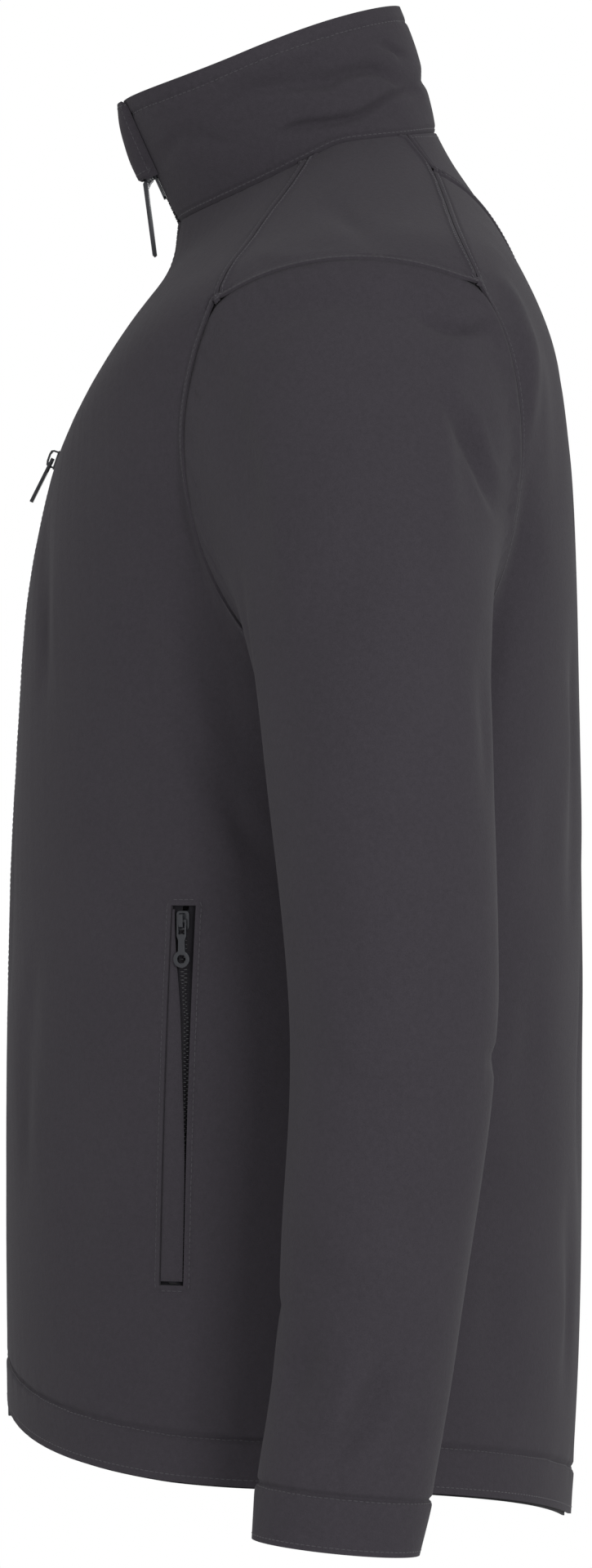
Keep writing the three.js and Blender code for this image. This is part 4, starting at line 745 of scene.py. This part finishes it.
# Shoulder pieces: a strip of the softshell over each shoulder from the neck to the top of
# the armhole. The seams before and behind it are turned over flat and stitched twice, so
# each is a narrow raised band.
SHOULDER_CREASES = [
    {"view": "left", "line": [(-4, -30), (12, -46), (30, -62)], "width": 7, "depth": -1.0},
    {"view": "left", "line": [(-34, -62), (-14, -68), (8, -64)], "width": 5, "depth": 0.8},
    {"view": "right", "line": [(2, -34), (20, -52), (40, -66)], "width": 7, "depth": -1.0},
]
at_back = beside("back")
at_yoke = beside("yoke")
for word in ("left", "right"):
    strip = outer_sheet("shoulder_" + word, 3)
    at_front = beside("front_" + word)
    at_sleeve = beside("sleeve_" + word)
    seams = seam_runs(strip, at_front) + seam_runs(strip, at_back)
    move_out(strip, crease_lift(strip, SHOULDER_CREASES), seams + seam_runs(strip, at_sleeve))
    refine(strip, seams + seam_runs(strip, at_yoke), 0.0, FINE_SEAM)
    seams = seam_runs(strip, at_front) + seam_runs(strip, at_back)
    cap = edge_distance(strip, seam_runs(strip, at_sleeve), 0.012)
    turned = edge_distance(strip, seams + seam_runs(strip, at_yoke), 0.012)
    move_out(strip, armhole_seam(cap, turned))
    rows = [(at_front, FELL_ROW), (at_back, FELL_ROW), (at_sleeve, SEAM_ROW)]
    sew(strip, f"shoulder_{word}_stitches", rows)
    allowance(strip, seams)
    thicken(strip, CLOTH_THICKNESS, most=13000)
    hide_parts("shoulder_" + word)

# Sleeves: one piece of the softshell each, closed by a seam under the arm, eased into the
# armhole so that its head puckers a little. The cuff is turned in and stitched.
SLEEVE_CREASES = [
    {
        "view": "left",
        "line": [
            (-46, -111),
            (-36, -100),
            (-22, -92),
            (-4, -88),
            (14, -87),
            (34, -89),
            (50, -95),
            (64, -102),
        ],
        "width": 11,
        "depth": -1.7,
        "lean": 0.8,
    },
    {
        "view": "left",
        "line": [(57, -138), (65, -149), (71, -160), (76, -172), (80, -183), (87, -196)],
        "width": 4.5,
        "depth": -2.7,
        "lean": 1.7,
    },
    {
        "view": "left",
        "line": [(62, -134), (70, -146), (78, -160), (83, -176)],
        "width": 4.5,
        "depth": 1.8,
    },
    {
        "view": "left",
        "line": [(44, -94), (58, -100), (70, -102), (80, -99)],
        "width": 4.5,
        "depth": -2.3,
        "lean": 0.6,
    },
    {"view": "left", "line": [(-50, -118), (-44, -160), (-36, -206)], "width": 9, "depth": -0.9},
    {"view": "left", "line": [(18, -196), (6, -236), (-14, -276)], "width": 13, "depth": -1.1},
    {"view": "left", "line": [(64, -262), (52, -300), (34, -336)], "width": 12, "depth": -1.2},
    {"view": "left", "line": [(-24, -352), (-2, -388), (8, -430)], "width": 10, "depth": -1.2},
    {
        "view": "left",
        "line": [(78, -388), (60, -420), (34, -444)],
        "width": 9,
        "depth": -1.4,
        "lean": 1.6,
    },
    {"view": "left", "line": [(-16, -452), (4, -470), (26, -480)], "width": 8, "depth": -1.2},
    {"view": "left", "line": [(70, -498), (54, -524), (30, -545)], "width": 8, "depth": -1.1},
    {"view": "left", "line": [(-22, -540), (-8, -562), (12, -578)], "width": 7, "depth": -1.0},
    {"view": "left", "line": [(26, -612), (16, -638), (1, -657)], "width": 5, "depth": -2.9, "lean": 1.6},
    {
        "view": "left",
        "line": [(-7, -600), (-16, -616), (-23, -633)],
        "width": 5,
        "depth": -2.4,
        "lean": 1.6,
    },
    {"view": "left", "line": [(46, -632), (36, -650), (28, -668)], "width": 5, "depth": -1.7},
    {"view": "left", "line": [(10, -610), (4, -630), (-10, -648)], "width": 6, "depth": 1.6},
    {
        "view": "right",
        "line": [(58, -142), (68, -158), (76, -178), (84, -194)],
        "width": 4.5,
        "depth": -1.9,
        "lean": 1.6,
    },
    {"view": "right", "line": [(42, -97), (58, -104), (76, -102)], "width": 4, "depth": -1.3},
    {"view": "right", "line": [(20, -204), (4, -248), (-16, -284)], "width": 12, "depth": -1.1},
    {
        "view": "right",
        "line": [(72, -396), (54, -430), (30, -452)],
        "width": 9,
        "depth": -1.3,
        "lean": 1.5,
    },
    {"view": "right", "line": [(-20, -440), (2, -462), (22, -470)], "width": 8, "depth": -1.2},
    {
        "view": "right",
        "line": [(20, -606), (10, -632), (-4, -650)],
        "width": 5,
        "depth": -1.6,
        "lean": 1.4,
    },
    {"view": "right", "line": [(50, -610), (40, -636), (30, -660)], "width": 6, "depth": -1.1},
    {"view": "front", "line": [(246, -200), (256, -260), (262, -320)], "width": 11, "depth": -1.3},
    {"view": "front", "line": [(-248, -210), (-256, -268), (-264, -330)], "width": 11, "depth": -1.3},
    {"view": "front", "line": [(270, -560), (286, -584), (300, -596)], "width": 7, "depth": -1.2},
    {"view": "front", "line": [(-304, -580), (-290, -604), (-276, -616)], "width": 7, "depth": -1.2},
    {"view": "back", "line": [(268, -250), (286, -290), (298, -344)], "width": 12, "depth": -1.4},
    {"view": "back", "line": [(-272, -240), (-290, -296), (-300, -340)], "width": 12, "depth": -1.4},
    {"view": "back", "line": [(262, -440), (284, -462), (306, -466)], "width": 8, "depth": -1.4},
    {"view": "back", "line": [(-262, -452), (-288, -476), (-308, -478)], "width": 8, "depth": -1.4},
]
CUFF_TURN = 0.028
CUFF_EDGE_ROW = 0.0027
CUFF_TOP = -0.69
ARMHOLE_BOTTOM = -0.32


def at_cuff(place):
    return place.z < CUFF_TOP


def at_armhole(place):
    return place.z > ARMHOLE_BOTTOM


for word in ("left", "right"):
    sleeve = outer_sheet("sleeve_" + word, 3)
    armhole = seam_runs(sleeve, at_armhole)
    move_out(sleeve, crease_lift(sleeve, SLEEVE_CREASES), armhole)
    refine(sleeve, seam_runs(sleeve, at_cuff), CUFF_TURN - 0.009, CUFF_TURN + 0.009)
    cuff = edge_distance(sleeve, seam_runs(sleeve, at_cuff))
    head = edge_distance(sleeve, armhole, 0.03)
    relief = turned_edge(sleeve, cuff, CUFF_TURN, depth=0.0016, rise=0.0003, pucker=0.008, pitch=0.021)
    relief += ripple(sleeve, head, 0.010, reach=0.005, height=0.0004, pitch=0.019, rising=1.4)
    move_out(sleeve, relief)
    sew(sleeve, f"sleeve_{word}_stitches", [(at_cuff, CUFF_TURN), (at_cuff, CUFF_EDGE_ROW)])
    allowance(sleeve, armhole, beyond=0.006)
    thicken(sleeve, CLOTH_THICKNESS, most=62000)
    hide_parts("sleeve_" + word)

# Collar: two layers of the softshell turned at the top, sewn to the neck and topstitched
# along the upper edge. It stands by itself and creases where the neck bends.
COLLAR_CREASES = [
    {
        "view": "left",
        "line": [(-55, 20), (-38, 30), (-21, 33), (0, 35), (9, 39), (23, 42), (31, 40), (40, 35)],
        "width": 2.8,
        "depth": -1.8,
        "lean": 1.6,
    },
    {
        "view": "left",
        "line": [(-24, 8), (-15, 12), (14, 17), (34, 30), (46, 34)],
        "width": 2.8,
        "depth": -1.6,
        "lean": 0.6,
    },
    {"view": "left", "line": [(27, 57), (36, 54), (41, 50)], "width": 2.4, "depth": -1.2},
    {"view": "left", "line": [(-60, 36), (-30, 46), (4, 54)], "width": 5, "depth": 1.0},
    {"view": "left", "line": [(-76, 8), (-62, 6), (-50, 4)], "width": 4, "depth": -0.6},
    {
        "view": "right",
        "line": [(-50, 22), (-26, 31), (2, 34), (30, 38)],
        "width": 2.8,
        "depth": -1.3,
        "lean": 1.5,
    },
    {"view": "right", "line": [(-20, 10), (8, 14), (36, 26)], "width": 2.8, "depth": -1.1},
    {"view": "back", "line": [(-22, 36), (0, 42), (24, 38)], "width": 3.2, "depth": -1.0},
    {"view": "front", "line": [(20, -4), (34, 2), (48, 12)], "width": 4, "depth": -0.8},
    {"view": "front", "line": [(-22, -6), (-36, 2), (-50, 10)], "width": 4, "depth": -0.8},
]
COLLAR_THICKNESS = 0.0030
COLLAR_TOP_ROW = 0.0085
COLLAR_TOP_LEVEL = 0.034
COLLAR_FRONT_EDGE = 0.0062
NECK_ROW = 0.0024
collar_seats = [beside(node, 0.0035) for node in (*fronts, "yoke", *shoulders)]


def at_neck(place):
    return any(seat(place) for seat in collar_seats)


def collar_top(place):
    high = place.z > COLLAR_TOP_LEVEL
    return high or not at_neck(place) and abs(place.x) > COLLAR_FRONT_EDGE


collar = outer_sheet("collar", 3)
move_out(collar, crease_lift(collar, COLLAR_CREASES))
refine(collar, seam_runs(collar, at_neck), 0.0, 0.007)
refine(collar, seam_runs(collar, collar_top), 0.003, 0.012)
top_edge = edge_distance(collar, seam_runs(collar, collar_top), 0.03)
neck_seam = edge_distance(collar, seam_runs(collar, at_neck), 0.02)
relief = groove(top_edge, COLLAR_TOP_ROW, width=0.0014, depth=0.0007)
relief += groove(neck_seam, 0.0, width=0.0018, depth=0.0013)
relief += groove(neck_seam, 0.0030, width=0.0010, depth=0.0005)
relief += ripple(collar, top_edge, COLLAR_TOP_ROW, reach=0.004, height=0.00018, pitch=0.012)
move_out(collar, relief)
sew(collar, "collar_stitches", [(collar_top, COLLAR_TOP_ROW), (at_neck, NECK_ROW)])
thicken(collar, COLLAR_THICKNESS, back=softshell, most=42000)
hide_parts("collar")

# Zip garage: a small cap of the softshell folded over the top of the front zip and sewn
# down at its sides, so that the slider parks under it.
GARAGE_THICKNESS = 0.0012
GARAGE_ROW = 0.0022
GARAGE_SIDE = 0.009
SIDE_TURN = Vector((0, 0.0028, -0.0012))
END_TURN = Vector((0, 0.0016, -0.0007))


def anywhere(place):
    return True


garage = outer_sheet("zip_garage", 3)
sew(garage, "zip_garage_stitches", [(anywhere, GARAGE_ROW)])
mesh = bmesh.new()
mesh.from_mesh(garage.data)
rim = [edge for edge in mesh.edges if len(edge.link_faces) == 1]
grown = bmesh.ops.extrude_edge_only(mesh, edges=rim)["geom"]
for corner in [item for item in grown if isinstance(item, bmesh.types.BMVert)]:
    corner.co += SIDE_TURN if abs(corner.co.x) > GARAGE_SIDE else END_TURN
mesh.to_mesh(garage.data)
mesh.free()
thicken(garage, GARAGE_THICKNESS)
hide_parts("zip_garage")

# Hem facing: a strip of dark binding sewn inside the hem, of which a thin edge shows
# below the hem all round.
FACING_THICKNESS = 0.0009
tape = cloth_material(
    "woven_tape",
    (0.0115, 0.0107, 0.0130),
    mottle=0.35,
    roughness=0.78,
    sheen=0.08,
    grain=1900.0,
    bump=0.5,
)
facing = outer_sheet("hem_facing", 2)
thicken(facing, FACING_THICKNESS)
for side in (0, 1):
    facing.data.materials[side] = tape
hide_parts("hem_facing")


# Front zip: a woven tape down each front edge with moulded teeth that lock in the middle,
# closed up to the slider and open above it.
def hard_material(name, color, roughness, metallic, coat=0.0):
    """A moulded or painted surface with a very fine unevenness."""
    material = bpy.data.materials.new(name)
    material.use_nodes = True
    tree = material.node_tree
    shader = tree.nodes["Principled BSDF"]
    shader.inputs["Metallic"].default_value = metallic
    shader.inputs["Coat Weight"].default_value = coat
    shader.inputs["Base Color"].default_value = (*color, 1)
    start = Wire(tree)
    place = start.make("ShaderNodeTexCoord", out="Object")
    worn = start.make("ShaderNodeTexNoise", inputs={"Vector": place, "Scale": 420.0, "Detail": 3.0})
    rough = roughness + 0.14 * (worn - 0.5)
    tree.links.new(rough.socket, shader.inputs["Roughness"])
    relief = start.make(
        "ShaderNodeBump", inputs={"Strength": 0.25, "Distance": 0.00006, "Height": worn}, out="Normal"
    )
    tree.links.new(relief.socket, shader.inputs["Normal"])
    return material


teeth_black = hard_material("zip_teeth", (0.010, 0.010, 0.012), roughness=0.42, metallic=0.0)


def copied(node, material):
    """A copy of a node with its doubles merged."""
    obj = bpy.data.objects.new(node + "_piece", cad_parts[node].data.copy())
    bpy.context.scene.collection.objects.link(obj)
    obj.data.materials.clear()
    obj.data.materials.append(material)
    mesh = bmesh.new()
    mesh.from_mesh(obj.data)
    bmesh.ops.remove_doubles(mesh, verts=mesh.verts, dist=1e-6)
    bmesh.ops.dissolve_limit(mesh, angle_limit=math.radians(1), verts=mesh.verts, edges=mesh.edges)
    mesh.to_mesh(obj.data)
    mesh.free()
    return obj


def rounded(obj, width, segments=2):
    """Breaks the sharp edges of a piece."""
    limit = {"limit_method": "ANGLE", "angle_limit": math.radians(35)}
    apply_modifier(obj, "BEVEL", width=width, segments=segments, **limit)
    bpy.ops.object.shade_smooth_by_angle(angle=math.radians(40))


def zip_tape(node):
    """The woven tape of a zip."""
    piece = copied(node, tape)
    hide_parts(node)
    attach(piece, "jacket")


def zip_path(node, outside, way, levels):
    """Points and normals on a zip, met at each level from a place outside it."""
    tree = node_tree_of(node)
    found = []
    for level in levels:
        hit, normal, _, _ = tree.ray_cast(outside(level), way)
        if hit is not None:
            found.append((hit, normal))
    return found


BACKWARDS = Vector((0, 1, 0))
AHEAD = -0.3
LEVEL_STEP = -0.001
TOOTH_SIZE = (0.00105, 0.0030, 0.0014)
TOOTH_PITCH = 0.0026
TOOTH_PLACE = 0.0016
TOOTH_SINK = 0.0002
TEETH_BOTTOM = -0.6495
tooth_shape = template(bpy.ops.mesh.primitive_cube_add, TOOTH_SIZE, size=1.0)
levels = np.arange(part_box("front_zip_slider")[0][2] + 0.001, TEETH_BOTTOM, LEVEL_STEP)
for word, side in (("left", 1), ("right", -1)):
    node = "front_zip_" + word
    zip_tape(node)
    path = zip_path(node, lambda z: Vector((side * TOOTH_PLACE, AHEAD, z)), BACKWARDS, levels)
    at, out, along = spaced(path, TOOTH_PITCH)
    shift = along / np.linalg.norm(along, axis=1)[:, None] * (0.25 * TOOTH_PITCH * side)
    row = (at + shift, out, along)
    teeth = repeat(f"front_zip_teeth_{word}", tooth_shape, [row], teeth_black, TOOTH_SINK)
    rounded(teeth, 0.00022, segments=1)
    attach(teeth, "jacket")

# Zip box, main slider and its bar: die-cast and painted. The bar hangs on a cross pin
# between two lugs of the slider, and the box holds the lower ends of both tapes.
paint_color = (0.010, 0.011, 0.015)
hardware_paint = hard_material("hardware_paint", paint_color, roughness=0.42, metallic=0.3, coat=0.2)


def hardware(node, body, edge):
    """A painted piece of a zip, with its edges broken, on the body that it moves with."""
    piece = copied(node, hardware_paint)
    rounded(piece, edge)
    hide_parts(node)
    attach(piece, body)


hardware("front_zip_box", "jacket", edge=0.0004)
hardware("front_zip_slider", "jacket", edge=0.00022)
hardware("front_zip_tab", "front_zip_tab", edge=0.00035)

# Hand pockets: a coil zip behind a slot in each front panel, with a folded welt of the
# softshell over part of it. The painted slider has a wire loop that its pull hangs on.
WELT_THICKNESS = 0.0008
WELT_CROWN = 0.0013
WELT_ROUNDING = 0.0045
SLOT_PLACE = (0.1955, -0.0735)
SLOT_FACING = (0.949, -0.316)
SLOT_CLEARANCE = 0.05
COIL_BOTTOM = -0.5800
COIL_PITCH = 0.0021
COIL_SIDE = 0.00085
COIL_SINK = -0.0001
coil_grey = hard_material("zip_coil", (0.030, 0.030, 0.033), roughness=0.38, metallic=0.0)
coil_shape = template(
    bpy.ops.mesh.primitive_torus_add,
    (1.0, 1.15, 0.75),
    (2, 0, 1),
    major_radius=0.00078,
    minor_radius=0.00027,
    major_segments=10,
    minor_segments=5,
)
outside_x = SLOT_PLACE[0] + SLOT_FACING[0] * SLOT_CLEARANCE
outside_y = SLOT_PLACE[1] + SLOT_FACING[1] * SLOT_CLEARANCE
for word, side in (("left", 1), ("right", -1)):
    welt = outer_sheet("pocket_welt_" + word, 3)
    fold = edge_distance(welt, seam_runs(welt, anywhere), 0.02)
    move_out(welt, WELT_CROWN * np.clip(fold / WELT_ROUNDING, 0, 1) ** 0.6)
    thicken(welt, WELT_THICKNESS, back=softshell)
    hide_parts("pocket_welt_" + word)

    zip_tape("pocket_zip_" + word)
    coil_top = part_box("pocket_slider_" + word)[0][2] + 0.001
    path = zip_path(
        "pocket_zip_" + word,
        lambda z: Vector((side * outside_x, outside_y, z)),
        Vector((-side * SLOT_FACING[0], -SLOT_FACING[1], 0)),
        np.arange(coil_top, COIL_BOTTOM, LEVEL_STEP),
    )
    lines = []
    for hand in (1, -1):
        row = []
        for hit, normal in path:
            across = normal.cross(Vector((0, 0, 1))).normalized()
            row.append((hit + across * (hand * COIL_SIDE), normal))
        lines.append(spaced(row, COIL_PITCH))
    at, _, along = lines[1]
    at += along / np.linalg.norm(along, axis=1)[:, None] * (COIL_PITCH / 2)
    coil = repeat(f"pocket_coil_{word}", coil_shape, lines, coil_grey, COIL_SINK)
    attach(coil, "jacket")
    hardware("pocket_slider_" + word, "jacket", edge=0.0002)
    hardware("pocket_tab_" + word, "pocket_tab_" + word, edge=0.0002)

# Chest pocket: a narrow coil zip bonded to the face of the right front, with its slider
# and bar at the top end.
CHEST_TOP_PLACE = -0.0386
CHEST_LEAN = -0.0014
zip_tape("chest_zip")
chest_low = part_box("chest_zip")[0][2]
chest_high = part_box("chest_slider")[0][2]


def before_chest(level):
    """A place in front of the chest zip, whose lower end leans to one side."""
    share = (chest_high - level) / (chest_high - chest_low)
    return Vector((CHEST_TOP_PLACE + CHEST_LEAN * share, AHEAD, level))


levels = np.arange(chest_high, chest_low + 0.002, LEVEL_STEP)
chest_path = zip_path("chest_zip", before_chest, BACKWARDS, levels)
chest_coil = repeat("chest_coil", coil_shape, [spaced(chest_path, COIL_PITCH)], teeth_black)
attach(chest_coil, "jacket")
hardware("chest_slider", "jacket", edge=0.0002)
hardware("chest_tab", "chest_tab", edge=0.00025)

# Stage: a plain pale floor far below, white surroundings and three soft lamps. The camera
# stands level with the middle of the jacket, on the wearer's left.
FLOOR_PLACE = (0, 0, -1.15)
JACKET_MIDDLE = Vector((0, 0, -0.33))
CAMERA_PLACE = (4.2, -0.016, -0.329)
bpy.ops.object.select_all(action="DESELECT")
bpy.ops.mesh.primitive_circle_add(vertices=96, radius=4.0, fill_type="NGON", location=FLOOR_PLACE)
floor = bpy.context.active_object
floor.name = "floor"
pale = bpy.data.materials.new("pale_floor")
pale.use_nodes = True
paint = pale.node_tree.nodes["Principled BSDF"]
paint.inputs["Base Color"].default_value = (0.85, 0.85, 0.85, 1)
paint.inputs["Roughness"].default_value = 0.9
floor.data.materials.append(pale)

world = bpy.data.worlds.new("white_room")
bpy.context.scene.world = world
world.use_nodes = True
sky = world.node_tree.nodes["Background"]
sky.inputs["Color"].default_value = (1, 1, 1, 1)
sky.inputs["Strength"].default_value = 1.0

LAMPS = [
    {"name": "side_lamp", "at": (3.0, 0.85, 0.0), "size": 0.7, "power": 45},
    {"name": "back_lamp", "at": (2.2, 2.6, 1.0), "size": 1.2, "power": 4},
    {"name": "top_lamp", "at": (0.2, 0.6, 2.6), "size": 1.4, "power": 6},
]
for row in LAMPS:
    light = bpy.data.lights.new(row["name"], "AREA")
    light.size = row["size"]
    light.energy = row["power"]
    lamp = bpy.data.objects.new(row["name"], light)
    bpy.context.scene.collection.objects.link(lamp)
    lamp.location = row["at"]
    aim = JACKET_MIDDLE - Vector(row["at"])
    lamp.rotation_euler = aim.to_track_quat("-Z", "Y").to_euler()

bpy.context.scene.view_settings.view_transform = "Standard"
camera_data = bpy.data.cameras.new("camera")
camera_data.sensor_fit = "VERTICAL"
camera_data.sensor_height = 36
camera_data.lens = 183.1
camera = bpy.data.objects.new("camera", camera_data)
bpy.context.scene.collection.objects.link(camera)
camera.location = CAMERA_PLACE
camera.rotation_euler = (math.radians(90), 0, math.radians(90))
bpy.context.scene.camera = camera
